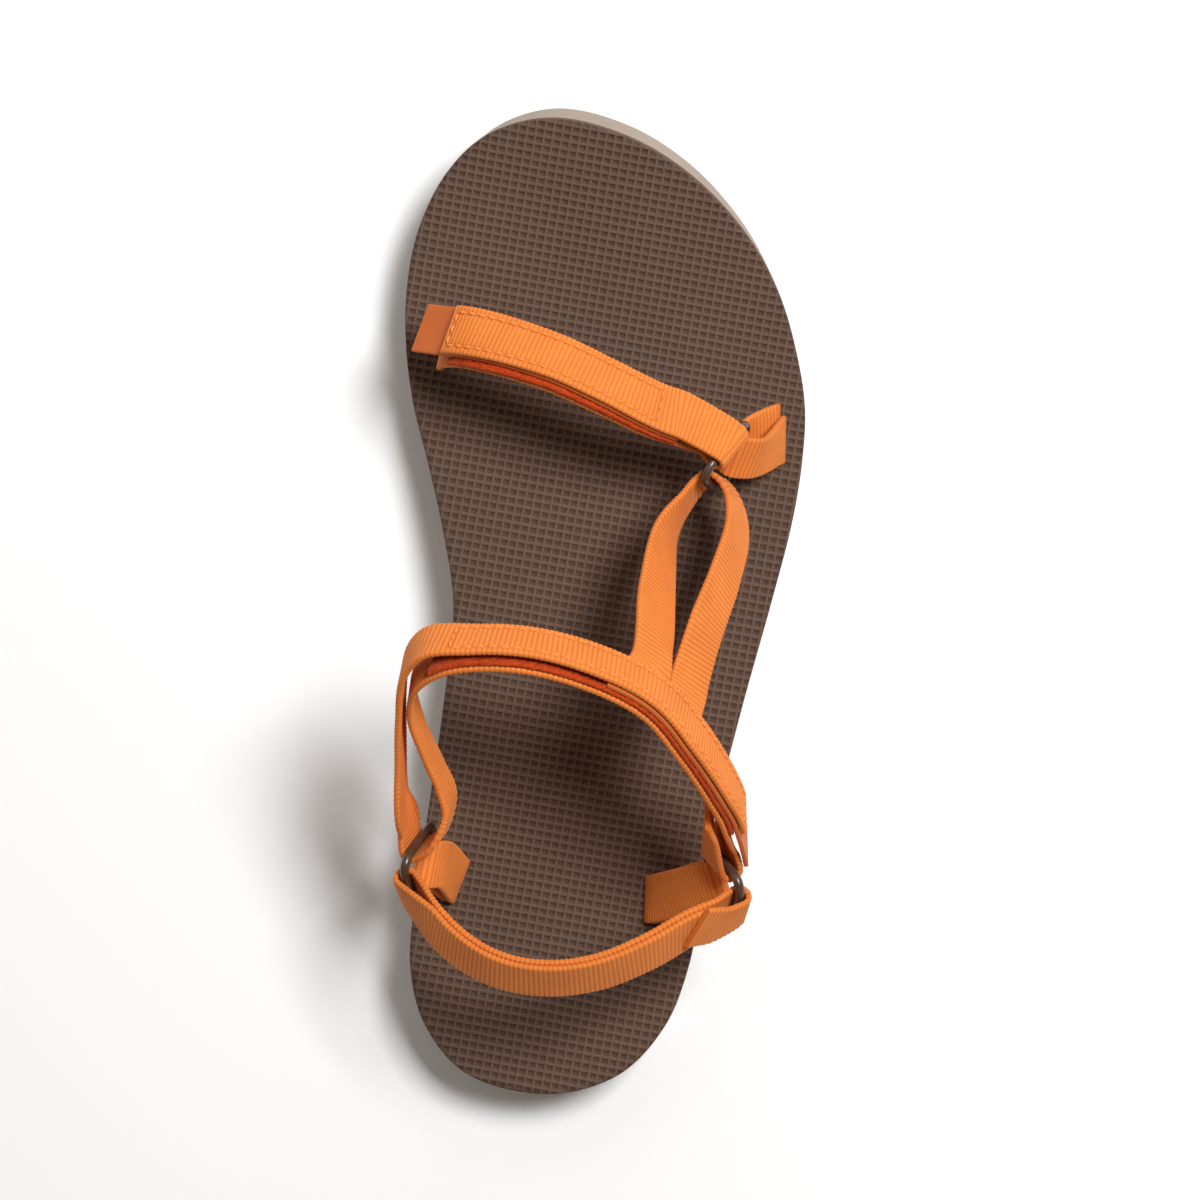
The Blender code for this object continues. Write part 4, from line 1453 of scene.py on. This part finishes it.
@dataclass
class Footbed:
    """Foam sheet with rows of small pressed pits that run out to its cut edge.

    Attributes:
        pitch: Distance between pits along and between their rows.
        turn: Turn of the rows from straight across.
        reach: Shares of the sheet's breadth and length that the uncut pattern runs to each side.
        floor_share: Size of a pit's floor as a share of its rim.
        rim_pit: How much of the pits' painted shade is on their rims.
        edge_inset: How far the top face is drawn in at the cut edge.
        edge_drop: Least depth at which the cut edge has its full breadth.
        edge_step: Least drop from the top face to there.
        slot_reach: How near to a slot the edge counts as the slot's.
        probe: Step by which the way out of the sheet is felt for.
        chunk: Points measured at a time.
    """

    form: SoleForm
    pitch: Pair = (2.24, 2.16)
    turn: float = math.radians(-10.5)
    pit_length: float = 1.86
    pit_breadth: float = 1.50
    reach: Pair = (0.82, 0.62)
    floor_share: float = 0.72
    pit_depth: float = 0.50
    rim_drop: float = 0.05
    rim_pit: float = 0.2
    edge_inset: float = 0.35
    edge_drop: float = 0.5
    edge_step: float = 0.1
    slot_reach: float = 0.6
    probe: float = 0.05
    chunk: int = 3000
    outline_steps: int = 260
    sharp: float = 70.0

    def outside(self, plan: Array) -> Array:
        """Distance of plan points outside the sheet, less than nothing on it.

        Args:
            plan: Plan points.

        Returns:
            Distances to the cut edge or to a slot.
        """
        line = self.form.outline(self.outline_steps)
        after = np.roll(line, -1, 0)
        run = after - line
        made = []
        for chunk in np.array_split(plan, max(1, len(plan) // self.chunk)):
            away = chunk[:, None] - line[None]
            share = np.clip((away * run).sum(2) / (run * run).sum(1), 0.0, 1.0)
            near = np.linalg.norm(away - run[None] * share[..., None], axis=2).min(1)
            crosses = (line[None, :, 1] > chunk[:, None, 1]) != (after[None, :, 1] > chunk[:, None, 1])
            rise = np.where(run[:, 1] == 0.0, 1.0, run[:, 1])
            meets = line[:, 0] + (chunk[:, None, 1] - line[:, 1]) / rise * run[:, 0]
            within = (crosses & (chunk[:, None, 0] < meets)).sum(1) % 2 == 1
            made.append(np.where(within, -near, near))
        far = np.concatenate(made) + self.edge_inset
        for slot in SLOTS:
            far = np.maximum(far, -slot.outside(plan))
        return far

    def cells(self) -> tuple[Array, Array, Array, Array]:
        """Whole pattern before it is cut.

        Returns:
            Plan points, depths under the lands, pit values, and faces of four points.
        """
        axis = vector((math.cos(self.turn), math.sin(self.turn)))
        other = vector((-axis[1], axis[0]))
        reach = int(self.form.length * self.reach[1] / self.pitch[1])
        breadth = int(self.form.ball_width * self.reach[0] / self.pitch[0])
        counts = (2 * breadth + 1, 2 * reach + 1)
        grid = np.stack(np.meshgrid(np.arange(counts[0]), np.arange(counts[1]), indexing="ij"), -1)
        lattice = (grid - vector((breadth, reach))) * vector(self.pitch)
        lattice = lattice[..., :1] * axis + lattice[..., 1:] * other
        middles = (lattice[:-1, :-1] + lattice[1:, 1:]) / 2
        corner = np.array(((-1, -1), (1, -1), (1, 1), (-1, 1))) / 2.0
        rim = corner[:, :1] * self.pit_length * axis + corner[:, 1:] * self.pit_breadth * other
        rims = middles[:, :, None] + rim
        floors = middles[:, :, None] + rim * self.floor_share
        ids = np.arange(counts[0] * counts[1]).reshape(counts)
        outer = np.stack([ids[:-1, :-1], ids[1:, :-1], ids[1:, 1:], ids[:-1, 1:]], -1)
        outer = outer.reshape(-1, 4)
        first_rim = ids.size
        first_floor = first_rim + 4 * len(outer)
        inner = first_rim + np.arange(4 * len(outer)).reshape(-1, 4)
        deep = first_floor + np.arange(4 * len(outer)).reshape(-1, 4)
        faces = [deep]
        for side in range(4):
            after = (side + 1) % 4
            faces.append(np.stack([outer[:, side], outer[:, after], inner[:, after], inner[:, side]], 1))
            faces.append(np.stack([inner[:, side], inner[:, after], deep[:, after], deep[:, side]], 1))
        plan = np.vstack([lattice.reshape(-1, 2), rims.reshape(-1, 2), floors.reshape(-1, 2)])
        sizes = (ids.size, 4 * len(outer), 4 * len(outer))
        depth = np.repeat((0.0, self.rim_drop, self.pit_depth), sizes)
        # Pit values for the painted shade: none on the lattice, a little on the rims, full on the floors.
        pit = np.repeat((0.0, self.rim_pit, 1.0), sizes)
        return plan, depth, pit, np.vstack(faces)

    def cut(self, plan: Array, depth: Array, pit: Array, faces: Array) -> tuple[Array, list[list[int]]]:
        """Pattern cut to the outline and the slots.

        Args:
            plan: Plan points.
            depth: Depths of the points.
            pit: Pit values of the points.
            faces: Faces of four points.

        Returns:
            Columns of x, y, depth and pit value, and the faces left.
        """
        box = np.abs(plan[:, 1]) < self.form.length / 2 + self.pitch[1]
        box &= np.abs(plan[:, 0]) < self.form.ball_width / 2 + self.pitch[0]
        faces = faces[box[faces].all(1)]
        far = np.full(len(plan), 1.0)
        far[box] = self.outside(plan[box])
        columns = np.column_stack([plan, depth, pit])
        inside = far[faces] <= 0.0
        kept = faces[inside.all(1)].tolist()
        extra, cuts = [], {}

        def crossing(one: int, two: int) -> int:
            """Point where the cut crosses an edge of the pattern.

            Args:
                one: Index of one end of the edge.
                two: Index of the other.

            Returns:
                Index of the point.
            """
            key = (min(one, two), max(one, two))
            if key not in cuts:
                share = far[key[0]] / (far[key[0]] - far[key[1]])
                cuts[key] = len(columns) + len(extra)
                extra.append(columns[key[0]] * (1.0 - share) + columns[key[1]] * share)
            return cuts[key]

        for face in faces[inside.any(1) & ~inside.all(1)].tolist():
            left = []
            for one, two in zip(face, face[1:] + face[:1]):
                if far[one] <= 0.0:
                    left.append(one)
                if (far[one] <= 0.0) != (far[two] <= 0.0):
                    left.append(crossing(one, two))
            if len(left) > 2:
                kept.append(left)
        return np.vstack([columns, *extra]), kept

    def build(self, dressing: Dressing) -> bpy.types.Object:
        """Make the footbed: the cut pattern, its side wall and the walls of its slots.

        Args:
            dressing: Where pieces are kept.

        Returns:
            The piece.
        """
        columns, faces = self.cut(*self.cells())
        used = sorted({index for face in faces for index in face})
        place = {index: number for number, index in enumerate(used)}
        faces = [[place[index] for index in face] for face in faces]
        columns = columns[used]
        sides = {}
        for face in faces:
            for one, two in zip(face, face[1:] + face[:1]):
                sides[(one, two)] = (two, one)
        rim = [pair for pair, back in sides.items() if back not in sides]
        loose = sorted({index for pair in rim for index in pair})
        step = {index: number for number, index in enumerate(loose)}
        plan = columns[loose, :2]
        wide = np.stack([self.outside(plan + move) - self.outside(plan - move)
                         for move in np.eye(2) * self.probe], 1)
        slotted = np.min([slot.outside(plan) for slot in SLOTS], 0) < self.slot_reach
        outset = np.where(slotted, 0.0, self.edge_inset)[:, None] * unit(wide + TINY)
        count = len(columns)
        pits = np.zeros(len(loose))
        rounded = np.maximum(columns[loose, 2] + self.edge_step, self.edge_drop)
        bottom = np.full(len(loose), self.form.footbed_thickness)
        levels = [np.column_stack([plan + outset, depth, pits]) for depth in (rounded, bottom)]
        for one, two in rim:
            low, high = count + step[one], count + step[two]
            faces.append([two, one, low, high])
            faces.append([high, low, low + len(loose), high + len(loose)])
        columns = np.vstack([columns, *levels])
        flat = np.column_stack([columns[:, :2], self.form.top(columns[:, :2]) - columns[:, 2]])
        return dressing.piece("footbed_sheet", self.form.bent(flat), faces, FootbedFinish(),
                              "footbed", self.sharp, {"pit": columns[:, 3]})


@dataclass
class Sole:
    """Foam sole with its toe spring, side wall and lugged tread."""

    form: SoleForm
    steps: int = 150
    cells: int = 10
    groove_width: float = 4.0
    groove_depth: float = 3.0
    groove_pitch: float = 13.0
    groove_margin: float = 8.0
    forefoot_first: float = 22.0
    forefoot_grooves: int = 7
    heel_first: float = -113.0
    heel_grooves: int = 5
    slot_depth: float = 10.0
    sharp: float = 40.0
    walls: tuple[Wall, ...] = (
        Wall(0.0, -0.25, 0.0), Wall(0.02, 0.0, 0.0), Wall(0.2, 0.28, 0.44), Wall(0.45, 0.5, 1.0),
        Wall(0.7, 0.75, 1.53), Wall(0.90, 0.9, 1.95), Wall(0.955, 0.72, 2.0), Wall(0.985, 0.25, 2.0),
        Wall(1.0, -0.5, 2.0),
    )

    def sole_top(self, plan: Array) -> Array:
        """Top of the sole, just under the footbed."""
        return self.form.top(plan) - self.form.footbed_thickness - GAP

    def slab(self) -> bpy.types.Mesh:
        """Flat slab of foam before it is cut and bent.

        Returns:
            Its mesh, in millimetres.
        """
        line = self.form.outline(self.steps)
        run = np.roll(line, -1, 0) - np.roll(line, 1, 0)
        out = unit(np.column_stack([run[:, 1], -run[:, 0]]))
        count = len(line)
        rings = []
        for wall in self.walls:
            plan = line + out * (wall.outset - wall.tuck * out[:, :1] ** 2)
            high, low = self.sole_top(plan), self.form.underside(plan)
            rings.append(np.column_stack([plan, high + (low - high) * wall.share]))
        points = np.vstack(rings).tolist()
        faces = ring_faces(len(rings), count)[:, (1, 0, 3, 2)].tolist()
        for level, height in ((0, self.sole_top), (len(rings) - 1, self.form.underside)):
            faces += self.cover(points, level * count, count, height, level == 0)
        mesh = bpy.data.meshes.new("sole_slab")
        mesh.from_pydata(points, [], faces)
        return mesh

    def cover(self, points: list[list[float]], first: int, count: int, height: Callable[[Array], Array],
              upward: bool) -> list[tuple[int, ...]]:
        """Faces over a ring of points, on rungs from side to side.

        Args:
            points: All points so far, added to.
            first: Index of the ring's first point.
            count: Points on the ring.
            height: Gives the heights of plan points.
            upward: Whether the faces look up.

        Returns:
            The faces.
        """
        rungs = []
        for index in range(1, count // 2):
            outer, inner = vector(points[first + index]), vector(points[first + count - index])
            share = np.arange(1, self.cells)[:, None] / self.cells
            plan = inner[:2] * (1.0 - share) + outer[:2] * share
            start = len(points)
            points += np.column_stack([plan, height(plan)]).tolist()
            rungs.append([first + count - index, *range(start, start + self.cells - 1), first + index])
        faces = []
        for one, two in zip(rungs, rungs[1:]):
            for cell in range(self.cells):
                faces.append((one[cell], one[cell + 1], two[cell + 1], two[cell]))
        for cell in range(self.cells):
            faces.append((first, rungs[0][cell + 1], rungs[0][cell]))
            faces.append((first + count // 2, rungs[-1][cell], rungs[-1][cell + 1]))
        return faces if upward else [face[::-1] for face in faces]

    def span(self, through: Array, direction: Array) -> Pair:
        """Both places where a line across the sole meets its outline.

        Args:
            through: Plan point that the line goes through.
            direction: Its plan direction.

        Returns:
            Their distances from that point along the line.
        """
        line = self.form.outline(self.steps)
        side = (line - through) @ vector((-direction[1], direction[0]))
        after = np.roll(side, -1)
        crossed = np.nonzero(side * after < 0.0)[0]
        share = side[crossed] / (side[crossed] - after[crossed])
        hits = line[crossed] + (np.roll(line, -1, 0)[crossed] - line[crossed]) * share[:, None]
        reach = (hits - through) @ direction
        return float(reach.min()), float(reach.max())

    def cutters(self) -> bpy.types.Object:
        """Bars and boxes that cut the tread and the slots.

        Returns:
            One object that holds them all.
        """
        bm = bmesh.new()
        slant = vector((math.cos(self.form.flex_turn), -math.sin(self.form.flex_turn)))
        forefoot = (self.forefoot_first, self.forefoot_grooves, slant)
        heel = (self.heel_first, self.heel_grooves, vector(OUTWARD[:2]))
        boxes = []
        for first, grooves, direction in (forefoot, heel):
            for number in range(grooves):
                through = vector((0.0, first + self.groove_pitch * number))
                start, end = self.span(through, direction)
                middle = through + direction * (start + end) / 2
                size = (end - start - 2 * self.groove_margin, self.groove_width, 2 * self.groove_depth)
                boxes.append(((*middle, 0.0), direction, size))
        for slot in SLOTS:
            top = self.form.top(np.array([(slot.x, slot.y)]))[0]
            size = (*slot.size, self.slot_depth + 2 * self.form.footbed_thickness)
            middle = (slot.x, slot.y, top - self.slot_depth / 2 + self.form.footbed_thickness)
            boxes.append((middle, slot.edge, size))
        for middle, direction, size in boxes:
            turn = Matrix.Rotation(math.atan2(direction[1], direction[0]), 4, "Z")
            place = Matrix.Translation(middle) @ turn @ Matrix.Diagonal((*size, 1.0))
            bmesh.ops.create_cube(bm, size=1.0, matrix=place)
        mesh = bpy.data.meshes.new("sole_cutters")
        bm.to_mesh(mesh)
        bm.free()
        return in_scene("sole_cutters", mesh)

    def build(self, dressing: Dressing) -> bpy.types.Object:
        """Make the sole: cut the flat slab, then bend its toe up.

        Args:
            dressing: Where pieces are kept.

        Returns:
            The piece.
        """
        blank = in_scene("sole_blank", self.slab())
        cutters = self.cutters()
        boolean = blank.modifiers.new("cut", "BOOLEAN")
        boolean.operation = "DIFFERENCE"
        boolean.object = cutters
        bpy.context.view_layer.update()
        mesh = bpy.data.meshes.new_from_object(blank.evaluated_get(bpy.context.evaluated_depsgraph_get()))
        for scrap in (blank, cutters):
            bpy.data.objects.remove(scrap)
        bm = bmesh.new()
        bm.from_mesh(mesh)
        bmesh.ops.triangulate(bm, faces=[face for face in bm.faces if len(face.verts) > 4])
        bmesh.ops.recalc_face_normals(bm, faces=bm.faces)
        bm.to_mesh(mesh)
        bm.free()
        points = np.array([vert.co for vert in mesh.vertices], float)
        points = (self.form.bent(points) + CENTRING) * MM
        mesh.vertices.foreach_set("co", points.astype(np.float32).ravel())
        mesh.name = "sole_foam"
        return dressing.adopt("sole_foam", mesh, SOLE_FOAM, "sole", self.sharp)


def hook_tape(rows: list[Row], tab_length: float, tab_lift: float, node: str,
              dressing: Dressing) -> bpy.types.Object:
    """Hook tape under a closed strap, with its free smooth pull tab.

    Args:
        rows: Rows under the strap, from its free end on.
        tab_length: Length of the tab.
        tab_lift: How far the tab's end lifts off.
        node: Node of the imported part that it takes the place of.
        dressing: Where pieces are kept.

    Returns:
        The piece.
    """
    ahead = unit(rows[0].point - rows[1].point)
    face = np.cross(rows[0].edge, ahead)
    tab = []
    for share in (1.0, 0.5):
        place = rows[0].point + ahead * tab_length * share + face * tab_lift * share * share
        tab.append(Row(place, rows[0].edge, rows[0].width))
    band = Band(tab + rows, HOOK_TAPE_BULK, rib_pitch=0.6, rib_depth=0.03, rib_steps=2, selvedge=0.3)
    return band.build(node + "_sewn", TAPE, Slot.TAPE, dressing, node)


def loop_tape(rows: list[Row], node: str, dressing: Dressing) -> bpy.types.Object:
    """Napped loop tape sewn to a strap's outer face.

    Args:
        rows: Rows on the strap, in order.
        node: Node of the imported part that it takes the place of.
        dressing: Where pieces are kept.

    Returns:
        The piece.
    """
    band = Band(rows, LOOP_TAPE_BULK, rib_pitch=0.5, rib_depth=0.02, rib_steps=1, selvedge=0.4, nap=0.16,
                cells=28)
    return band.build(node + "_sewn", FLEECE, Slot.FLEECE, dressing, node)


@dataclass
class ToeStrap:
    """Toe strap: up from the inner slot, over to the ring, round it and back, closed by its tapes.

    Attributes:
        pull: Which way the strap leaves the ring.
        closed: Shares of its lower run that the upper layer covers.
        hook_to: Share that the hook tape runs to.
        loop: Shares that the loop tape covers.
        skew: How far the upper layer is moved across at its free end.
        sewn_share: Share of the upper layer that its sewing runs round.
    """

    form: SoleForm
    pull: Triple = (-0.80, 0.45, 0.30)
    closed: Pair = (0.32, 0.86)
    hook_to: float = 0.84
    loop: Pair = (0.33, 0.86)
    loop_width: float = 13.4
    skew: float = 1.6
    sewn_share: float = 0.90
    tab_length: float = 13.0
    tab_lift: float = 0.4

    def build(self, dressing: Dressing) -> None:
        """Make the strap, its tapes and its sewing.

        Args:
            dressing: Where pieces are kept.
        """
        turn = TOE_RING.fold(RingBar.FIRST, self.pull, DOWNWARD, TOE_RUN[-1][3:])
        lower = TOE_MEDIAL_SLOT.tucked(self.form) + table_rows(TOE_RUN) + turn[:2]
        run = Line.through(lower, RUN_STEP)
        upper = run.stretch(self.closed[1], self.closed[0], CLOSURE_LIFT, self.skew)
        outer = run.stretch(*self.closed, CLOSURE_LIFT, self.skew)
        top = Line.through(outer, CURVE_STEP).even(SEAM_STEP)
        box = SewnBox(self.sewn_share * top.distance[-1])
        strap = Band(lower + turn[2:-1] + upper, sewn=box)
        strap.build("toe_strap_webbing", WEBBING, Slot.WEBBING, dressing, "toe_strap")
        hook = run.stretch(self.closed[0], self.hook_to, HOOK_TAPE_LIFT, self.skew, TAPE_SEWN_WIDTH)
        hook_tape(hook, self.tab_length, self.tab_lift, "toe_hook_tape", dressing)
        loop = run.stretch(*self.loop, LOOP_TAPE_LIFT, 0.0, self.loop_width)
        loop_tape(loop, "toe_loop_tape", dressing)
        sewing = Stitching(top, WEB_THICKNESS / 2)
        sewing.build("toe_strap_stitching", sewing.box(box), dressing)


@dataclass
class AnkleStrap:
    """Ankle strap on both heel rings, with the instep loop sewn to its inner face.

    Attributes:
        spread: How far the layers part at the inner ring, in degrees.
        closed: Shares of its main run that the upper layer covers.
        hook_to: Share that the hook tape runs to.
        loop: Shares that the loop tape covers.
        sewn_end: Shares between which its sewn end lies, and the height of that end.
        instep_at: Shares where the ends of the instep loop are sewn on.
        sewn_reach: Where those ends start and end across the strap.
        sewn_past: How far the sewing runs past the closed part.
    """

    lateral_pull: Triple = (-0.05, 0.66, 0.75)
    medial_pull: Triple = (0.40, 0.82, 0.40)
    instep_pull: Triple = (0.05, -0.97, 0.20)
    spread: float = 25.0
    instep_spread: float = 48.0
    instep_approach: float = 2.5
    closed: Pair = (0.085, 0.56)
    hook_to: float = 0.40
    loop: Pair = (0.10, 0.62)
    sewn_end: Triple = (0.12, 0.075, -3.6)
    tab_length: float = 13.0
    tab_lift: float = -0.6
    instep_at: Pair = (0.333, 0.245)
    sewn_reach: Pair = (4.0, -7.0)
    sewn_depth: float = 0.6
    sewn_width: float = 11.0
    sewn_past: float = 5.0

    def sewn_on(self, run: Line, share: float) -> list[Row]:
        """Rows of an instep end that lies across the strap, sewn to its inner face.

        Args:
            run: Sections of the strap's main run.
            share: Share of the run where the end lies.

        Returns:
            The rows, from the end on.
        """
        at = round(share * (len(run.point) - 1))
        inner = run.point[at] - run.face[at] * self.sewn_depth
        places = [inner + run.edge[at] * reach for reach in self.sewn_reach]
        return [Row(place, run.along[at], self.sewn_width) for place in places]

    def build(self, dressing: Dressing) -> None:
        """Make the strap, its tapes, its instep loop and its sewing.

        Args:
            dressing: Where pieces are kept.
        """
        first = HEEL_RING_LATERAL.fold(RingBar.FIRST, self.lateral_pull, INWARD, ANKLE_RUN[0][3:])
        turn = HEEL_RING_MEDIAL.fold(RingBar.FIRST, self.medial_pull, OUTWARD, ANKLE_RUN[-1][3:], self.spread)
        main = first[-2:] + table_rows(ANKLE_RUN) + turn[:2]
        run = Line.through(main, RUN_STEP)
        sewn = run.stretch(*self.sewn_end)
        upper = run.stretch(self.closed[1], self.closed[0], CLOSURE_LIFT)
        rows = sewn + first[1:-2] + main + turn[2:] + table_rows(ANKLE_OUTER_LEG) + upper
        closed = Line.through(upper, CURVE_STEP).distance[-1]
        top = Line.through(upper[::-1] + table_rows(ANKLE_OUTER_LEG[::-1]), CURVE_STEP).even(SEAM_STEP)
        box = SewnBox(closed + self.sewn_past)
        Band(rows, sewn=box).build("ankle_strap_webbing", WEBBING, Slot.WEBBING, dressing, "ankle_strap")
        hook = run.stretch(self.closed[0], self.hook_to, HOOK_TAPE_LIFT, 0.0, TAPE_SEWN_WIDTH)
        hook_tape(hook, self.tab_length, self.tab_lift, "ankle_hook_tape", dressing)
        loop = run.stretch(*self.loop, LOOP_TAPE_LIFT, 0.0, TAPE_SEWN_WIDTH)
        loop_tape(loop, "ankle_loop_tape", dressing)
        over = TOE_RING.fold(RingBar.SECOND, self.instep_pull, INWARD, UPWARD, self.instep_spread,
                             self.instep_approach)
        instep = self.sewn_on(run, self.instep_at[0]) + table_rows(INSTEP_MEDIAL_LEG) + over
        instep += table_rows(INSTEP_LATERAL_LEG) + self.sewn_on(run, self.instep_at[1])[::-1]
        Band(instep).build("instep_loop_webbing", WEBBING, Slot.WEBBING, dressing, "ankle_strap")
        sewing = Stitching(top, WEB_THICKNESS / 2)
        sewing.build("ankle_strap_stitching", sewing.box(box), dressing)


@dataclass
class HeelStrap:
    """Heel strap of two sewn layers between the heel rings, its end returned over the outside.

    Attributes:
        parted: Shares of its run between which the layers lie together.
        end_at: Share where the outer layer ends.
        return_from: Share where the returned end starts.
        return_slide: How far that end is moved across.
    """

    medial_pull: Triple = (0.49, -0.60, 0.63)
    lateral_pull: Triple = (-0.79, -0.37, 0.48)
    parted: Pair = (0.12, 0.93)
    end_at: float = 0.91
    return_from: float = 0.885
    return_slide: float = 3.0

    def build(self, dressing: Dressing) -> None:
        """Make the strap.

        Args:
            dressing: Where pieces are kept.
        """
        near = HEEL_RING_MEDIAL.fold(RingBar.SECOND, self.medial_pull, OUTWARD, HEEL_RUN[0][3:])
        far = HEEL_RING_LATERAL.fold(RingBar.SECOND, self.lateral_pull, OUTWARD, HEEL_RUN[-1][3:])
        start = Row(HEEL_RING_MEDIAL.bar(RingBar.SECOND)[0], near[0].edge, WEB_WIDTH)
        end = Row(HEEL_RING_LATERAL.bar(RingBar.SECOND)[0], far[0].edge, WEB_WIDTH)
        run = Line.through([start, *table_rows(HEEL_RUN), end], RUN_STEP)
        half = LAYER_STEP / 2
        returned = run.stretch(self.return_from, self.parted[1], half + LAYER_STEP, self.return_slide)
        inside = run.stretch(self.parted[1], self.parted[0], -half)
        outside = run.stretch(self.parted[0], self.end_at, half)
        rows = returned + far[1:-1] + inside + near[1:-1] + outside
        Band(rows).build("heel_strap_webbing", WEBBING, Slot.WEBBING, dressing, "heel_strap")


@dataclass
class AnchorLoop:
    """Loop of webbing from a slot up round a ring's lowest bar and down again."""

    node: str
    slot: WebSlot
    ring: RingPlace
    pull: Triple
    first_layer: Triple
    spread: float = 0.0

    def build(self, form: SoleForm, dressing: Dressing) -> bpy.types.Object:
        """Make the loop.

        Args:
            form: The sole's shape.
            dressing: Where pieces are kept.

        Returns:
            The piece.
        """
        slot = self.slot
        edge = (slot.dir_x, slot.dir_y, 0.0)
        turn = self.ring.fold(RingBar.THIRD, self.pull, self.first_layer, edge, self.spread)
        facing = vector((slot.dir_y, -slot.dir_x, 0.0)) @ vector(self.first_layer)
        layer = math.copysign(0.5, facing)
        rows = slot.tucked(form, layer) + turn + slot.tucked(form, -layer)[::-1]
        return Band(rows).build(self.node + "_webbing", WEBBING, Slot.WEBBING, dressing, self.node)


ANCHORS = (
    AnchorLoop("toe_anchor", TOE_LATERAL_SLOT, TOE_RING, (0.68, 0.24, -0.69), OUTWARD, 18.0),
    AnchorLoop("heel_anchor_medial", HEEL_MEDIAL_SLOT, HEEL_RING_MEDIAL, (0.34, -0.26, -0.91), INWARD),
    AnchorLoop("heel_anchor_lateral", HEEL_LATERAL_SLOT, HEEL_RING_LATERAL, (-0.64, -0.24, -0.73), OUTWARD),
)


@dataclass(frozen=True)
class AreaLight:
    """Soft square studio light."""

    name: str
    place: Triple
    size: float
    power: float


@dataclass
class Studio:
    """Pale floor, soft lights and the camera over the sandal."""

    camera_at: Triple = (0.0241, 0.0203, 0.921)
    aim: Triple = (-0.0013, 0.0, 0.021)
    lens: float = 106.3
    sensor: float = 36.0
    floor_size: float = 6.0
    floor_drop: float = 0.0002
    world: float = 0.17
    world_tint: Triple = (1.0, 0.87, 0.74)
    lights: tuple[AreaLight, ...] = (
        AreaLight("key", (0.45, 0.38, 1.22), 0.40, 19.5),
        AreaLight("fill", (-0.8, 0.6, 0.9), 1.2, 2.2),
        AreaLight("back", (0.2, 1.3, 0.7), 1.0, 3.4),
    )

    def build(self) -> None:
        """Make the floor, the lights and the camera."""
        self.lay_floor()
        for light in self.lights:
            self.hang(light)
        background = bpy.data.worlds.new("studio")
        background.use_nodes = True
        background.node_tree.nodes["Background"].inputs["Color"].default_value = (*self.world_tint, 1.0)
        background.node_tree.nodes["Background"].inputs["Strength"].default_value = self.world
        bpy.context.scene.world = background
        bpy.context.scene.view_settings.view_transform = "Standard"
        self.set_camera()

    def lay_floor(self) -> None:
        """Make the floor, a hair under the sole."""
        half = self.floor_size / 2
        mesh = bpy.data.meshes.new("floor")
        corners = [(half * x, half * y, -self.floor_drop) for x, y in ((-1, -1), (1, -1), (1, 1), (-1, 1))]
        mesh.from_pydata(corners, [], [(0, 1, 2, 3)])
        mesh.materials.append(FloorFinish().material())
        floor = in_scene("floor", mesh)

    def hang(self, light: AreaLight) -> None:
        """Place one light, aimed at the sandal.

        Args:
            light: The light.
        """
        lamp = bpy.data.lights.new(light.name, "AREA")
        lamp.size = light.size
        lamp.energy = light.power
        made = in_scene(light.name, lamp)
        made.location = light.place
        made.rotation_euler = (-Vector(light.place)).to_track_quat("-Z", "Y").to_euler()

    def set_camera(self) -> None:
        """Place the camera over the sandal, toe upwards in its picture."""
        shift = Vector(CENTRING * MM)
        place = Vector(self.camera_at) + shift
        back = (place - Vector(self.aim) - shift).normalized()
        right = Vector((0.0, 1.0, 0.0)).cross(back).normalized()
        lens = bpy.data.cameras.new("camera")
        lens.lens = self.lens
        lens.sensor_width = self.sensor
        camera = in_scene("camera", lens)
        turn = Matrix((right, back.cross(right), back)).transposed().to_4x4()
        camera.matrix_world = Matrix.Translation(place) @ turn
        bpy.context.scene.camera = camera


def main() -> None:
    """Dress the imported sandal, light it, and log how many pieces it has."""
    logging.basicConfig(level=logging.INFO, format="%(name)s %(message)s")
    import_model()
    form = SoleForm()
    dressing = Dressing()
    Sole(form).build(dressing)
    Footbed(form).build(dressing)
    for ring in (TOE_RING, HEEL_RING_MEDIAL, HEEL_RING_LATERAL):
        ring.build(dressing)
    ToeStrap(form).build(dressing)
    AnkleStrap().build(dressing)
    HeelStrap().build(dressing)
    for anchor in ANCHORS:
        anchor.build(form, dressing)
    Studio().build()
    bpy.context.view_layer.update()
    LOG.info("%d pieces", len(dressing.pieces))


if __name__ == "__main__":
    main()
